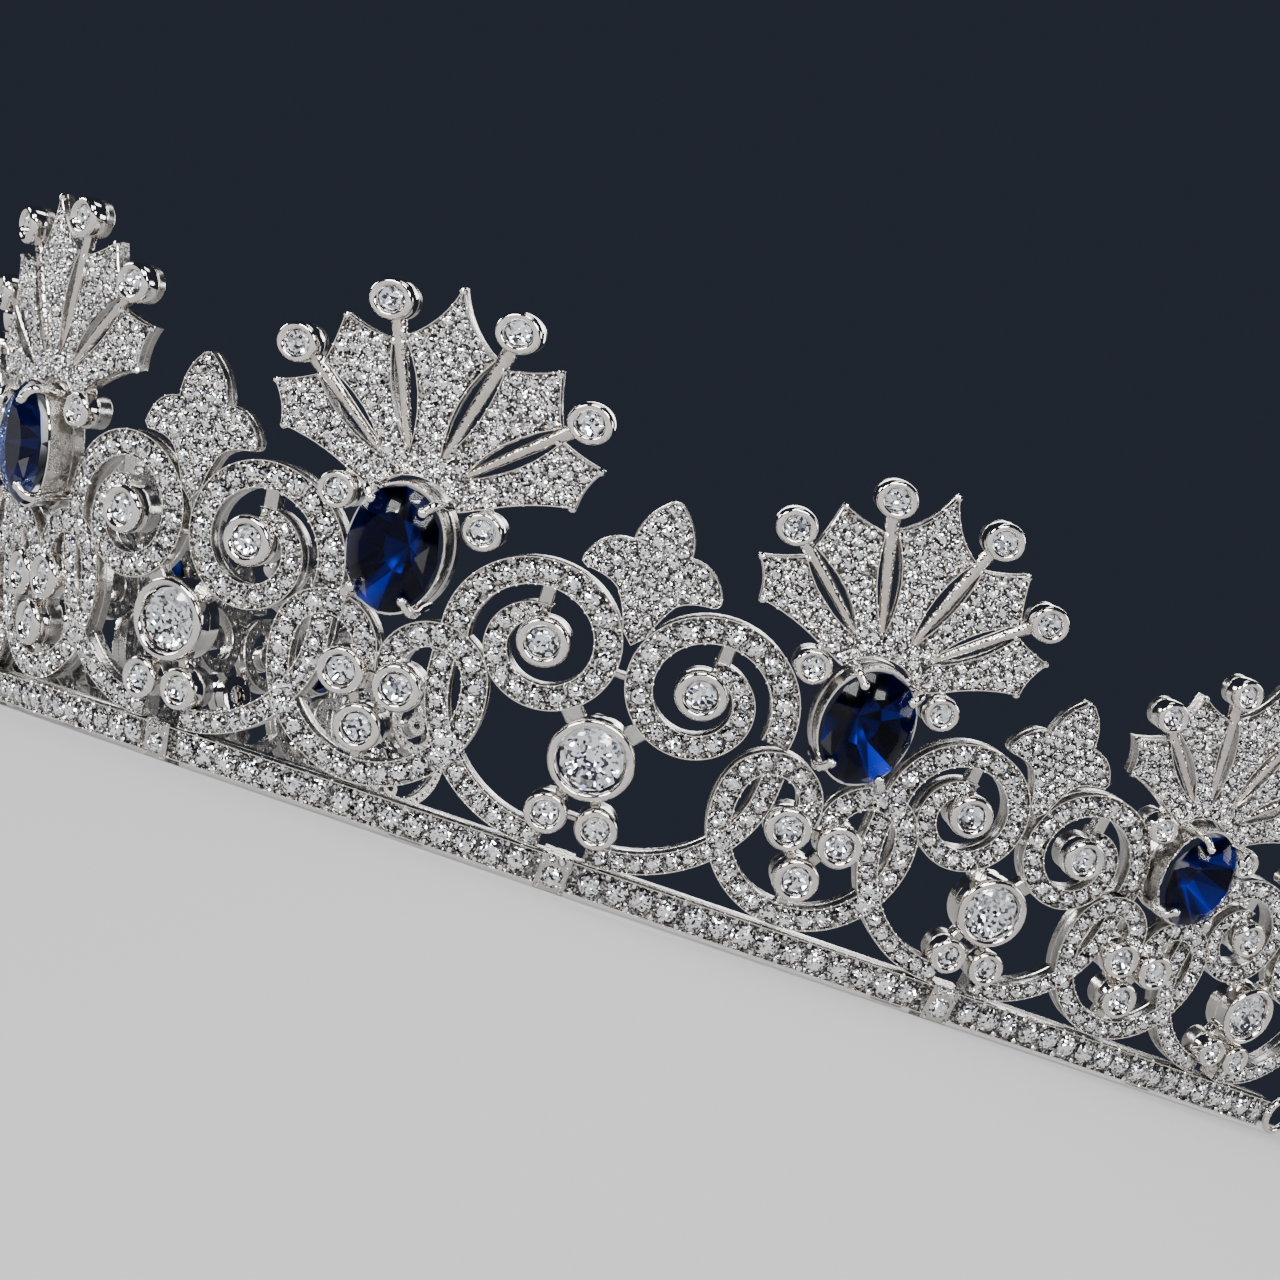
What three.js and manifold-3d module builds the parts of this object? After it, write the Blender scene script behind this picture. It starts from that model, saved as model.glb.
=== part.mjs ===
// A bridal tiara: seven pave-set palmettes with oval sapphires, standing between eight pairs of
// scrolls on a jointed rail that follows the front of the head. Millimetres, +Z up, the front
// faces -Y, and the tiara is symmetrical left to right.
//
// Every piece is first drawn on the unrolled wall, where x runs along the rail from the front,
// y goes up the wall from the rail's foot and z stands out of the wall's face, and is then bent
// round the plan curve.

import * as THREE from "three";
import { mergeVertices } from "three/addons/utils/BufferGeometryUtils.js";
import Module from "manifold-3d";

const wasm = await Module();
wasm.setup();

// Driving dimensions: the plan curve is half of an ellipse, and the wall leans outwards.
const PLAN_HALF_WIDTH = 72;
const PLAN_HALF_LENGTH = 100;
const WALL_LEAN = THREE.MathUtils.degToRad(18);

// Each unit has a place along the rail and a size, which falls off from the front to the ends.
const PALMETTES = [
  { at: 0, scale: 1.07 },
  { at: 38.2, scale: 1 },
  { at: 74.9, scale: 0.93 },
  { at: 107.3, scale: 0.84 },
];
const SCROLL_PAIRS = [
  { at: 19.5, scale: 1.06 },
  { at: 56.5, scale: 1.01 },
  { at: 91.6, scale: 0.9 },
  { at: 122.2, scale: 0.83 },
];

const RAIL_HEIGHT = 2.7;
const RAIL_END = 133.5;
const METAL_DEPTH = 1.8;
const PLATE_DEPTH = 1.2;
const BEZEL_RISE = 1.1;
const GAP = 0.3;

const RIBBON_WIDTH = 2.1;
const STRAND_WIDTH = 1.9;
const STRUT_WIDTH = 1.1;

// The collet that covers a seam between two lengths of rail. It reaches a little below the
// rails, so the six collets are the feet that the tiara stands on.
const COLLET_WIDTH = 2;
const COLLET_DROP = 0.35;
const COLLET_RISE = 0.3;
const SEAM_HALF_WIDTH = COLLET_WIDTH / 2 + GAP;

// Wire staples under the rail, for hairgrips or a ribbon.
const STAPLE_PLACES = [6, 44, 87.4, 116.4];
const STAPLE_LENGTH = 3.3;
const STAPLE_WIRE = 0.5;

// The palmette, above the rail and at scale 1.
const STONE_HEIGHT = 20.3;
const STONE_HALF_WIDTH = 4;
const STONE_HALF_HEIGHT = 5.2;
const GIRDLE_OUT = 2.2;
const TABLE_OUT = 3.4;
const CULET_OUT = -1.5;
const TABLE_SHARE = 0.6;
const GALLERY_MARGIN = 0.3;
const GALLERY_WALL = 0.55;
const GALLERY_FRONT = 1.5;
const CLAW_RADIUS = 0.42;
const CLAW_ANGLE = THREE.MathUtils.degToRad(50);

const ROD_FOOT_RADIUS = 0.3;
const ROD_TIP_RADIUS = 0.6;
const ROD_BEZEL_RADIUS = 1.65;
const SHOULDER_BEZEL_RADIUS = 1.55;
const SHOULDER_BEZEL = [5.65, 23.45];
const RODS = [
  { foot: [1.45, 28.2], bezel: [4.56, 39.17] },
  { foot: [3.4, 27.3], bezel: [10.89, 34.13] },
];

// The interlaced ring under the palmette: a large circle that runs into two small arches.
const RING_HEIGHT = 9.6;
const RING_RADIUS = 8.2;
const ARCH_RADIUS = 3.5;
const ARCH_JOIN = THREE.MathUtils.degToRad(15);
const ARCH_END = THREE.MathUtils.degToRad(192);
const STRAND_TOP = [5.1, 13.1];
const STRAND_SHOULDER = 11.8;
const STRAND_FOOT = 1.3;
const TREFOIL_RADIUS = 2.05;
const TREFOIL_UPPER = [2.35, 9.3];
const TREFOIL_LOWER = [0, 5.2];

// The scroll pair, above the rail and at scale 1, drawn for its left scroll.
const SCROLL_CENTRE = [-6.3, 16];
const SCROLL_START_RADIUS = 6.6;
const SCROLL_END_RADIUS = 2.5;
const SCROLL_START = THREE.MathUtils.degToRad(190);
const SCROLL_SWEEP = THREE.MathUtils.degToRad(458);
const SCROLL_TIP_WIDTH = 1.4;
const SCROLL_BEZEL = [-6.1, 16.4];
const SCROLL_BEZEL_RADIUS = 2.05;
const LARGE_BEZEL = [0, 8.6];
const LARGE_BEZEL_RADIUS = 3.4;
const LARGE_STONE_RADIUS = 2.45;
const SMALL_BEZEL = [-2.06, 3.38];
const SMALL_BEZEL_RADIUS = 1.75;
const STRAND_START = 3.9;
const STRAND_CENTRE = 2.4;

const LOOP_RADIUS = 1.75;
const LOOP_WIRE_RADIUS = 0.3;

const BEZEL_SIDES = 8;
const LARGE_SIDES = 12;

const silver = new THREE.MeshStandardMaterial({ color: 0xd9dadd, metalness: 1, roughness: 0.22 });
const sapphire = new THREE.MeshStandardMaterial({ color: 0x0a1c66, metalness: 0, roughness: 0.05 });
const clearStone = new THREE.MeshStandardMaterial({ color: 0xf1f4f8, metalness: 0, roughness: 0.05 });

// ---- solids -------------------------------------------------------------------------------

function solidOf(geometry) {
  const shell = geometry.index ? geometry.toNonIndexed() : geometry.clone();
  shell.deleteAttribute("normal");
  shell.deleteAttribute("uv");
  const merged = mergeVertices(shell, 1e-4);
  const mesh = new wasm.Mesh({
    numProp: 3,
    vertProperties: merged.getAttribute("position").array,
    triVerts: new Uint32Array(merged.index.array),
  });
  return new wasm.Manifold(mesh);
}

function geometryOf(solid) {
  const mesh = solid.getMesh();
  return new THREE.BufferGeometry()
    .setAttribute("position", new THREE.BufferAttribute(mesh.vertProperties, 3))
    .setIndex(new THREE.BufferAttribute(mesh.triVerts, 1));
}

function join(geometries) {
  return geometries.map(solidOf).reduce((all, next) => all.add(next));
}

// ---- the plan curve -----------------------------------------------------------------------

// Arc length along the ellipse at equal steps of its angle.
const ANGLE_STEP = 0.001;
const ARC_LENGTHS = [0];
for (let angle = ANGLE_STEP / 2; angle < Math.PI; angle += ANGLE_STEP) {
  const speed = Math.hypot(PLAN_HALF_WIDTH * Math.cos(angle), PLAN_HALF_LENGTH * Math.sin(angle));
  ARC_LENGTHS.push(ARC_LENGTHS.at(-1) + speed * ANGLE_STEP);
}

function planAngle(along) {
  const distance = Math.abs(along);
  const next = ARC_LENGTHS.findIndex((length) => length > distance);
  const low = ARC_LENGTHS[next - 1];
  const share = (distance - low) / (ARC_LENGTHS[next] - low);
  return Math.sign(along) * (next - 1 + share) * ANGLE_STEP;
}

// The three directions of the wall at a place along the rail, and the point at the rail's foot.
function wallFrame(along) {
  const angle = planAngle(along);
  const foot = new THREE.Vector3(
    PLAN_HALF_WIDTH * Math.sin(angle),
    -PLAN_HALF_LENGTH * Math.cos(angle),
    0,
  );
  const heading = Math.atan2(
    PLAN_HALF_LENGTH * Math.sin(angle),
    PLAN_HALF_WIDTH * Math.cos(angle),
  );
  const level = new THREE.Vector3(Math.sin(heading), -Math.cos(heading), 0);
  const vertical = new THREE.Vector3(0, 0, 1);
  return {
    foot,
    forward: new THREE.Vector3(Math.cos(heading), Math.sin(heading), 0),
    up: vertical.clone().multiplyScalar(Math.cos(WALL_LEAN)).addScaledVector(level, Math.sin(WALL_LEAN)),
    out: level.clone().multiplyScalar(Math.cos(WALL_LEAN)).addScaledVector(vertical, -Math.sin(WALL_LEAN)),
  };
}

// The farthest along the rail that a straight edge may reach before it is bent.
const LONGEST_REACH = 6;

// Halves those edges of a triangle that reach too far along the rail.
function halved(triangle) {
  const outline = [];
  let start = 0;
  triangle.forEach((from, i) => {
    const to = triangle[(i + 1) % 3];
    outline.push(from);
    if (Math.abs(to.x - from.x) > LONGEST_REACH) {
      start = outline.length;
      outline.push(from.clone().add(to).multiplyScalar(0.5));
    }
  });
  if (outline.length === 3) return [triangle];
  const turned = [...outline.slice(start), ...outline.slice(0, start)];
  return turned.slice(2).map((corner, i) => [turned[0], turned[i + 1], corner]);
}

// Splits a piece's faces until they are short enough to follow the plan curve.
function refined(geometry) {
  const corners = (geometry.index ? geometry.toNonIndexed() : geometry).getAttribute("position");
  let triangles = [];
  for (let i = 0; i < corners.count; i += 3) {
    triangles.push([0, 1, 2].map((k) => new THREE.Vector3().fromBufferAttribute(corners, i + k)));
  }
  let count = 0;
  while (triangles.length > count) {
    count = triangles.length;
    triangles = triangles.flatMap(halved);
  }
  return new THREE.BufferGeometry().setFromPoints(triangles.flat());
}

// Bends an unrolled piece round the plan curve.
function bend(unrolled) {
  const geometry = refined(unrolled);
  const position = geometry.getAttribute("position");
  for (let i = 0; i < position.count; i++) {
    const frame = wallFrame(position.getX(i));
    const point = frame.foot
      .clone()
      .addScaledVector(frame.up, position.getY(i))
      .addScaledVector(frame.out, position.getZ(i));
    position.setXYZ(i, point.x, point.y, point.z);
  }
  return geometry;
}

// Sets a stiff piece, drawn about its own middle, on the wall without bending it.
function setOnWall(geometry, along, height) {
  const frame = wallFrame(along);
  const matrix = new THREE.Matrix4().makeBasis(frame.forward, frame.up, frame.out);
  matrix.setPosition(frame.foot.clone().addScaledVector(frame.up, height));
  return geometry.applyMatrix4(matrix);
}

// ---- building blocks on the unrolled wall ---------------------------------------------------

function mirrored(point) {
  return [-point[0], point[1]];
}

// A flat strip that follows a line; width is a number or a function of the share of its length.
function ribbon(line, width, front = 0, back = -METAL_DEPTH) {
  const last = line.length - 1;
  const corners = line.flatMap((point, i) => {
    const before = line[Math.max(i - 1, 0)];
    const after = line[Math.min(i + 1, last)];
    const step = Math.hypot(after[0] - before[0], after[1] - before[1]);
    const half = (typeof width === "function" ? width(i / last) : width) / 2 / step;
    const acrossX = -(after[1] - before[1]) * half;
    const acrossY = (after[0] - before[0]) * half;
    const left = [point[0] + acrossX, point[1] + acrossY];
    const right = [point[0] - acrossX, point[1] - acrossY];
    return [...left, front, ...right, front, ...right, back, ...left, back];
  });
  const faces = [0, 2, 1, 0, 3, 2];
  for (let i = 0; i < last; i++) {
    for (let side = 0; side < 4; side++) {
      const a = 4 * i + side;
      const b = 4 * i + ((side + 1) % 4);
      faces.push(a, b, b + 4, a, b + 4, a + 4);
    }
  }
  const end = 4 * last;
  faces.push(end, end + 1, end + 2, end, end + 2, end + 3);
  return new THREE.BufferGeometry()
    .setAttribute("position", new THREE.Float32BufferAttribute(corners, 3))
    .setIndex(faces);
}

function arc(centre, radius, from, to, steps) {
  return Array.from({ length: steps + 1 }, (_, i) => {
    const angle = from + ((to - from) * i) / steps;
    return [centre[0] + radius * Math.cos(angle), centre[1] + radius * Math.sin(angle)];
  });
}

function bezel(centre, radius, front = BEZEL_RISE, back = -METAL_DEPTH) {
  const depth = front - back;
  return new THREE.CylinderGeometry(radius, radius, depth, BEZEL_SIDES)
    .rotateX(Math.PI / 2)
    .translate(centre[0], centre[1], back + depth / 2);
}

// A short bar from one point to another, set back a little from the pave face.
function strut(from, to, width = STRUT_WIDTH) {
  return ribbon([from, to], width, -GAP, -METAL_DEPTH + GAP);
}

// A bar between two bezels or rings, from inside the one to inside the other.
function link(from, fromRadius, to, toRadius, width = STRUT_WIDTH) {
  const a = new THREE.Vector2(...from);
  const b = new THREE.Vector2(...to);
  const direction = b.clone().sub(a).normalize();
  const bite = 0.4;
  const start = a.clone().addScaledVector(direction, fromRadius - bite);
  const end = b.clone().addScaledVector(direction, bite - toRadius);
  return strut(start.toArray(), end.toArray(), width);
}

// A shape that is symmetrical about x = 0. The steps run up its right side, each an end point
// with the control point of a curve, or an end point alone for a straight edge.
function symmetricalShape(start, steps) {
  const shape = new THREE.Shape();
  shape.moveTo(...start);
  const ends = [start, ...steps.map((step) => step.slice(0, 2))];
  steps.forEach(([x, y, controlX, controlY]) => {
    if (controlX === undefined) shape.lineTo(x, y);
    else shape.quadraticCurveTo(controlX, controlY, x, y);
  });
  for (let i = steps.length - 1; i > 0; i--) {
    const [, , controlX, controlY] = steps[i];
    const [x, y] = mirrored(ends[i]);
    if (controlX === undefined) shape.lineTo(x, y);
    else shape.quadraticCurveTo(-controlX, controlY, x, y);
  }
  const [, , controlX, controlY] = steps[0];
  if (controlX !== undefined) shape.quadraticCurveTo(-controlX, controlY, ...start);
  return shape;
}

function plate(shape, depth, curveSegments) {
  return new THREE.ExtrudeGeometry(shape, { depth, bevelEnabled: false, curveSegments })
    .translate(0, 0, -depth);
}

// Scales a piece drawn about its unit's middle and moves it to the unit's place on the wall.
function place(geometry, unit) {
  return geometry.scale(unit.scale, unit.scale, 1).translate(unit.at, RAIL_HEIGHT, 0);
}

// ---- the palmette ---------------------------------------------------------------------------

// Five lobes with hollowed ends, parted by four slits; the foot clears the stone's gallery.
function fanShape() {
  return symmetricalShape(
    [0, 26.1],
    [
      [3.4, 24.2, 2, 26.1],
      [5.7, 25.3],
      [11.5, 27.3, 8.4, 26.8],
      [12.7, 30.8, 11.5, 29.2],
      [9.23, 32, 11, 31.1],
      [3.2, 26.9, 7.1, 28.4],
      [8.97, 33, 4.4, 30.6],
      [8, 37.3, 8.3, 35],
      [4.15, 36.14, 6.1, 36.3],
      [1.2, 27.8, 3.8, 31.4],
      [3.38, 36.6, 0.8, 32.8],
      [0, 41.4, 0.9, 38.2],
    ],
  );
}

// A tapered polished rod that lies in a slit and carries a bezel beyond the fan's edge.
function rod({ foot, bezel: tip }) {
  const from = new THREE.Vector3(...foot, -PLATE_DEPTH / 2);
  const to = new THREE.Vector3(...tip, -PLATE_DEPTH / 2);
  const length = from.distanceTo(to);
  const turn = new THREE.Quaternion().setFromUnitVectors(
    new THREE.Vector3(0, 1, 0),
    to.clone().sub(from).normalize(),
  );
  return new THREE.CylinderGeometry(ROD_TIP_RADIUS, ROD_FOOT_RADIUS, length, 4)
    .applyQuaternion(turn)
    .translate((from.x + to.x) / 2, (from.y + to.y) / 2, from.z);
}

function palmette(unit) {
  const pieces = [plate(fanShape(), PLATE_DEPTH, 2)];
  for (const side of [-1, 1]) {
    for (const { foot, bezel: tip } of RODS) {
      const onSide = { foot: [side * foot[0], foot[1]], bezel: [side * tip[0], tip[1]] };
      pieces.push(rod(onSide));
      pieces.push(bezel(onSide.bezel, ROD_BEZEL_RADIUS, BEZEL_RISE, -PLATE_DEPTH));
    }
    const shoulder = [side * SHOULDER_BEZEL[0], SHOULDER_BEZEL[1]];
    pieces.push(bezel(shoulder, SHOULDER_BEZEL_RADIUS));
    pieces.push(ribbon([[side * 5.1, 25.9], shoulder], STRUT_WIDTH, -GAP, -PLATE_DEPTH + 0.1));
  }
  return join(pieces.map((piece) => place(piece, unit)));
}

// An oval brilliant about its girdle's middle, with a flat table and a pointed back.
function ovalStone(unit) {
  const profile = [
    [0, CULET_OUT],
    [1, GIRDLE_OUT - 0.1],
    [1, GIRDLE_OUT + 0.1],
    [TABLE_SHARE, TABLE_OUT],
    [0, TABLE_OUT],
  ].map(([radius, out]) => new THREE.Vector2(radius, out));
  return new THREE.LatheGeometry(profile, LARGE_SIDES)
    .rotateX(Math.PI / 2)
    .scale(STONE_HALF_WIDTH * unit.scale, STONE_HALF_HEIGHT * unit.scale, 1);
}

// The oval tube behind the stone, and the four claws that bend over its edge.
function clawSetting(unit) {
  const outer = [STONE_HALF_WIDTH + GALLERY_MARGIN, STONE_HALF_HEIGHT + GALLERY_MARGIN];
  const shape = new THREE.Shape().absellipse(0, 0, ...outer, 0, 2 * Math.PI);
  const hole = new THREE.Path();
  hole.absellipse(0, 0, outer[0] - GALLERY_WALL, outer[1] - GALLERY_WALL, 0, 2 * Math.PI);
  shape.holes.push(hole);
  const tube = new THREE.ExtrudeGeometry(shape, {
    depth: GALLERY_FRONT + METAL_DEPTH,
    bevelEnabled: false,
    curveSegments: LARGE_SIDES / 2,
  }).translate(0, 0, -METAL_DEPTH);
  const claws = [CLAW_ANGLE, Math.PI - CLAW_ANGLE, -CLAW_ANGLE, CLAW_ANGLE - Math.PI].map(claw);
  return geometryOf(join([tube, ...claws])).scale(unit.scale, unit.scale, 1);
}

function claw(angle) {
  const point = (margin, out) =>
    new THREE.Vector3(
      (STONE_HALF_WIDTH + margin) * Math.cos(angle),
      (STONE_HALF_HEIGHT + margin) * Math.sin(angle),
      out,
    );
  const path = new THREE.CatmullRomCurve3([
    point(GALLERY_MARGIN - 0.1, 0.5),
    point(GALLERY_MARGIN + CLAW_RADIUS + 0.05, GIRDLE_OUT),
    point(-0.45, 3.35),
  ]);
  const section = new THREE.Shape().absellipse(0, 0, CLAW_RADIUS, CLAW_RADIUS, 0, 2 * Math.PI);
  return new THREE.ExtrudeGeometry(section, {
    steps: 2,
    bevelEnabled: false,
    curveSegments: 3,
    extrudePath: path,
  });
}

// ---- the interlaced ring --------------------------------------------------------------------

// One line for the ring and its two arches, from the left arch's end to the right arch's.
function ringLine() {
  const reach = RING_RADIUS - ARCH_RADIUS;
  const archCentre = [reach * Math.cos(ARCH_JOIN), RING_HEIGHT + reach * Math.sin(ARCH_JOIN)];
  const rightArch = arc(archCentre, ARCH_RADIUS, ARCH_JOIN, ARCH_END, 5);
  const circle = arc([0, RING_HEIGHT], RING_RADIUS, -Math.PI - ARCH_JOIN, ARCH_JOIN, 10);
  return [...rightArch.toReversed().map(mirrored), ...circle.slice(1, -1), ...rightArch];
}

// A strand that rises from the foot of a scroll pair and ends under an arch of the ring, as a
// quarter of an ellipse and a short straight top, in unrolled coordinates.
function strandLine(footX, footY, topX, shoulderY, topY) {
  const centre = [footX, shoulderY];
  const reach = topX - footX;
  const startAngle = Math.asin((STRAND_START - STRAND_CENTRE) / Math.abs(reach));
  const steps = 5;
  const curve = Array.from({ length: steps + 1 }, (_, i) => {
    const angle = startAngle + ((Math.PI / 2 - startAngle) * i) / steps;
    return [centre[0] + reach * Math.sin(angle), centre[1] - (shoulderY - footY) * Math.cos(angle)];
  });
  return [...curve, [topX, topY]];
}

// The two strands of a ring; the neighbours are the scroll pairs at its left and right.
function strandLines(unit, neighbours) {
  const height = (y) => RAIL_HEIGHT + y * unit.scale;
  return neighbours.map((pair) => {
    const side = Math.sign(pair.at - unit.at);
    return strandLine(
      pair.at - side * STRAND_CENTRE * pair.scale,
      height(STRAND_FOOT),
      unit.at + side * STRAND_TOP[0] * unit.scale,
      height(STRAND_SHOULDER),
      height(STRAND_TOP[1]),
    );
  });
}

// A palmette's shoulder bezels with a margin round them, to cut the scrolls behind.
function shoulderClearances(unit) {
  return [-1, 1].map((side) => {
    const centre = [side * SHOULDER_BEZEL[0], SHOULDER_BEZEL[1]];
    const radius = SHOULDER_BEZEL_RADIUS + GAP / unit.scale;
    return place(bezel(centre, radius, BEZEL_RISE, -2 * METAL_DEPTH), unit);
  });
}

// The pave lines of a ring as solids, made wider by a margin where they are used to cut.
function ringStrips(unit, neighbours, margin) {
  const front = margin > 0 ? margin : 0;
  const widen = 2 * margin;
  const ring = place(
    ribbon(ringLine(), (RIBBON_WIDTH * unit.scale + widen) / unit.scale, front, -METAL_DEPTH - front),
    unit,
  );
  const strands = strandLines(unit, neighbours).map((line) =>
    ribbon(line, STRAND_WIDTH * unit.scale + widen, front, -METAL_DEPTH - front),
  );
  return [ring, ...strands];
}

function interlacedRing(unit, neighbours) {
  const right = TREFOIL_UPPER;
  const left = mirrored(TREFOIL_UPPER);
  const trefoil = [
    bezel(left, TREFOIL_RADIUS),
    bezel(right, TREFOIL_RADIUS),
    bezel(TREFOIL_LOWER, TREFOIL_RADIUS),
    link(left, TREFOIL_RADIUS, right, TREFOIL_RADIUS),
    link(left, TREFOIL_RADIUS, TREFOIL_LOWER, TREFOIL_RADIUS),
    link(right, TREFOIL_RADIUS, TREFOIL_LOWER, TREFOIL_RADIUS),
    strut([0, RING_HEIGHT - RING_RADIUS], TREFOIL_LOWER),
  ].map((piece) => place(piece, unit));
  return join([...ringStrips(unit, neighbours, 0), ...trefoil]);
}

// ---- the scroll pair ------------------------------------------------------------------------

// The left scroll, an even spiral that winds clockwise in to its bezel.
function scrollLine() {
  const steps = 15;
  return Array.from({ length: steps + 1 }, (_, i) => {
    const share = i / steps;
    const angle = SCROLL_START - SCROLL_SWEEP * share;
    const radius = THREE.MathUtils.lerp(SCROLL_START_RADIUS, SCROLL_END_RADIUS, share);
    return [
      SCROLL_CENTRE[0] + radius * Math.cos(angle),
      SCROLL_CENTRE[1] + radius * Math.sin(angle),
    ];
  });
}

function scrollWidth(share) {
  return THREE.MathUtils.lerp(RIBBON_WIDTH + 0.15, SCROLL_TIP_WIDTH, share ** 3);
}

// A three-lobed leaf whose neck runs down between the scrolls.
function leafShape() {
  return symmetricalShape(
    [0, 18.2],
    [
      [0.95, 19.2],
      [2.2, 22.2, 1.35, 20.9],
      [4.8, 23.1, 3, 23],
      [5.1, 24.2, 5.5, 23.4],
      [2.2, 26.2, 4.2, 26.3],
      [0.6, 29.7, 2.1, 28.3],
      [0, 30, 0.3, 30.05],
    ],
  );
}

// A bezel cup with a bore that steps in to a conical seat.
function largeBezel() {
  const wall = 0.6;
  const seat = 1.6;
  const profile = [
    [seat, -METAL_DEPTH],
    [LARGE_BEZEL_RADIUS, -METAL_DEPTH],
    [LARGE_BEZEL_RADIUS, BEZEL_RISE],
    [LARGE_BEZEL_RADIUS - wall, BEZEL_RISE],
    [LARGE_BEZEL_RADIUS - wall, -GAP],
    [seat, -METAL_DEPTH],
  ].map(([radius, out]) => new THREE.Vector2(radius, out));
  return new THREE.LatheGeometry(profile, LARGE_SIDES)
    .rotateX(Math.PI / 2)
    .translate(...LARGE_BEZEL, 0);
}

function roundStone(unit) {
  const profile = [
    [0, -1.3],
    [LARGE_STONE_RADIUS, 0.5],
    [LARGE_STONE_RADIUS, 0.65],
    [LARGE_STONE_RADIUS * TABLE_SHARE, 1.2],
    [0, 1.2],
  ].map(([radius, out]) => new THREE.Vector2(radius, out));
  return new THREE.LatheGeometry(profile, LARGE_SIDES)
    .rotateX(Math.PI / 2)
    .scale(unit.scale, unit.scale, 1);
}

// The last pair has no ring beyond it, so a strand of its own closes the wall at the end.
function endStrand(pair) {
  const side = Math.sign(pair.at);
  const start = scrollLine()[0];
  const height = (y) => RAIL_HEIGHT + y * pair.scale;
  const line = strandLine(
    pair.at + side * STRAND_CENTRE * pair.scale,
    height(STRAND_FOOT),
    pair.at - side * start[0] * pair.scale,
    height(STRAND_SHOULDER),
    height(start[1] + 0.6),
  );
  return ribbon(line, STRAND_WIDTH * pair.scale);
}

function scrollPair(pair, cutters, isLast) {
  const pieces = [plate(leafShape(), PLATE_DEPTH, 2), largeBezel()];
  for (const side of [1, -1]) {
    const onSide = ([x, y]) => [side * x, y];
    const line = scrollLine().map(onSide);
    const centre = onSide(SCROLL_CENTRE);
    const ringRadius = 5.7;
    pieces.push(ribbon(line, scrollWidth));
    pieces.push(bezel(onSide(SCROLL_BEZEL), SCROLL_BEZEL_RADIUS));
    pieces.push(strut(onSide([-6.9, 18.6]), onSide([-6.9, 22])));
    pieces.push(link(LARGE_BEZEL, LARGE_BEZEL_RADIUS, centre, ringRadius, STRUT_WIDTH * 1.4));
    pieces.push(bezel(onSide(SMALL_BEZEL), SMALL_BEZEL_RADIUS));
    pieces.push(link(LARGE_BEZEL, LARGE_BEZEL_RADIUS, onSide(SMALL_BEZEL), SMALL_BEZEL_RADIUS));
  }
  pieces.push(strut([-1.6, 19.4], [1.6, 19.4], 0.9));
  pieces.push(strut([-0.9, 15.6], [0.9, 15.6], 0.6));
  pieces.push(strut([-0.8, SMALL_BEZEL[1]], [0.8, SMALL_BEZEL[1]], 0.5));
  const placed = pieces.map((piece) => place(piece, pair));
  if (isLast) placed.push(endStrand(pair));
  return cutters.reduce((solid, cutter) => solid.subtract(solidOf(cutter)), join(placed));
}

// ---- the rail -------------------------------------------------------------------------------

function staple(along) {
  const low = -STAPLE_WIRE;
  const half = STAPLE_LENGTH / 2;
  const front = -0.8;
  const back = front - STAPLE_WIRE;
  const leg = (x) => ribbon([[x, 0.3], [x, low + 0.1]], STAPLE_WIRE, front, back);
  const bar = ribbon([[along - half, low + 0.2], [along + half, low + 0.2]], 0.4, front, back);
  return [bar, leg(along - half + STAPLE_WIRE / 2), leg(along + half - STAPLE_WIRE / 2)];
}

function rail(from, to) {
  const steps = Math.ceil((to - from) / 4.5);
  const line = Array.from({ length: steps + 1 }, (_, i) => [
    from + ((to - from) * i) / steps,
    RAIL_HEIGHT / 2,
  ]);
  const staples = STAPLE_PLACES.flatMap((place) => [place, -place])
    .filter((place) => place > from && place < to)
    .flatMap(staple);
  return join([ribbon(line, RAIL_HEIGHT), ...staples]);
}

// The collet's foot is cut level, so that the tiara stands on six small flat faces.
function seamCollet(along) {
  const top = RAIL_HEIGHT + 0.2;
  const block = ribbon([[along, -1.5], [along, top]], COLLET_WIDTH, COLLET_RISE, -METAL_DEPTH);
  const reach = 20;
  const ground = new THREE.BoxGeometry(reach, reach, reach);
  const foot = wallFrame(along).foot;
  ground.translate(foot.x, foot.y, -COLLET_DROP - reach / 2);
  return geometryOf(solidOf(bend(block)).subtract(solidOf(ground)));
}

function endLoop(side) {
  const loop = new THREE.TorusGeometry(LOOP_RADIUS, LOOP_WIRE_RADIUS, 6, 12);
  const along = side * (RAIL_END + GAP + LOOP_RADIUS + LOOP_WIRE_RADIUS);
  return setOnWall(loop, along, RAIL_HEIGHT / 2 + 0.4);
}

// ---- assembly -------------------------------------------------------------------------------

const wall = new THREE.Group();

function addNode(name, geometry, material) {
  const mesh = new THREE.Mesh(geometry, material);
  mesh.name = name;
  wall.add(mesh);
}

function sideName(index, side) {
  return side === 0 ? "centre" : `${side < 0 ? "left" : "right"}_${index}`;
}

const palmettes = PALMETTES.flatMap((unit, index) =>
  (index === 0 ? [0] : [-1, 1]).map((side) => ({
    name: sideName(index, side),
    at: side * unit.at,
    scale: unit.scale,
  })),
);
const scrollPairs = SCROLL_PAIRS.flatMap((unit, index) =>
  [-1, 1].map((side) => ({
    name: sideName(index + 1, side),
    at: side * unit.at,
    scale: unit.scale,
    isLast: index === SCROLL_PAIRS.length - 1,
  })),
);

// The units of a list that stand next to a place, one on each side of it.
function nextTo(units, at) {
  const after = units.filter((unit) => unit.at > at).sort((a, b) => a.at - b.at)[0];
  const before = units.filter((unit) => unit.at < at).sort((a, b) => b.at - a.at)[0];
  return [before, after].filter(Boolean);
}

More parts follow.
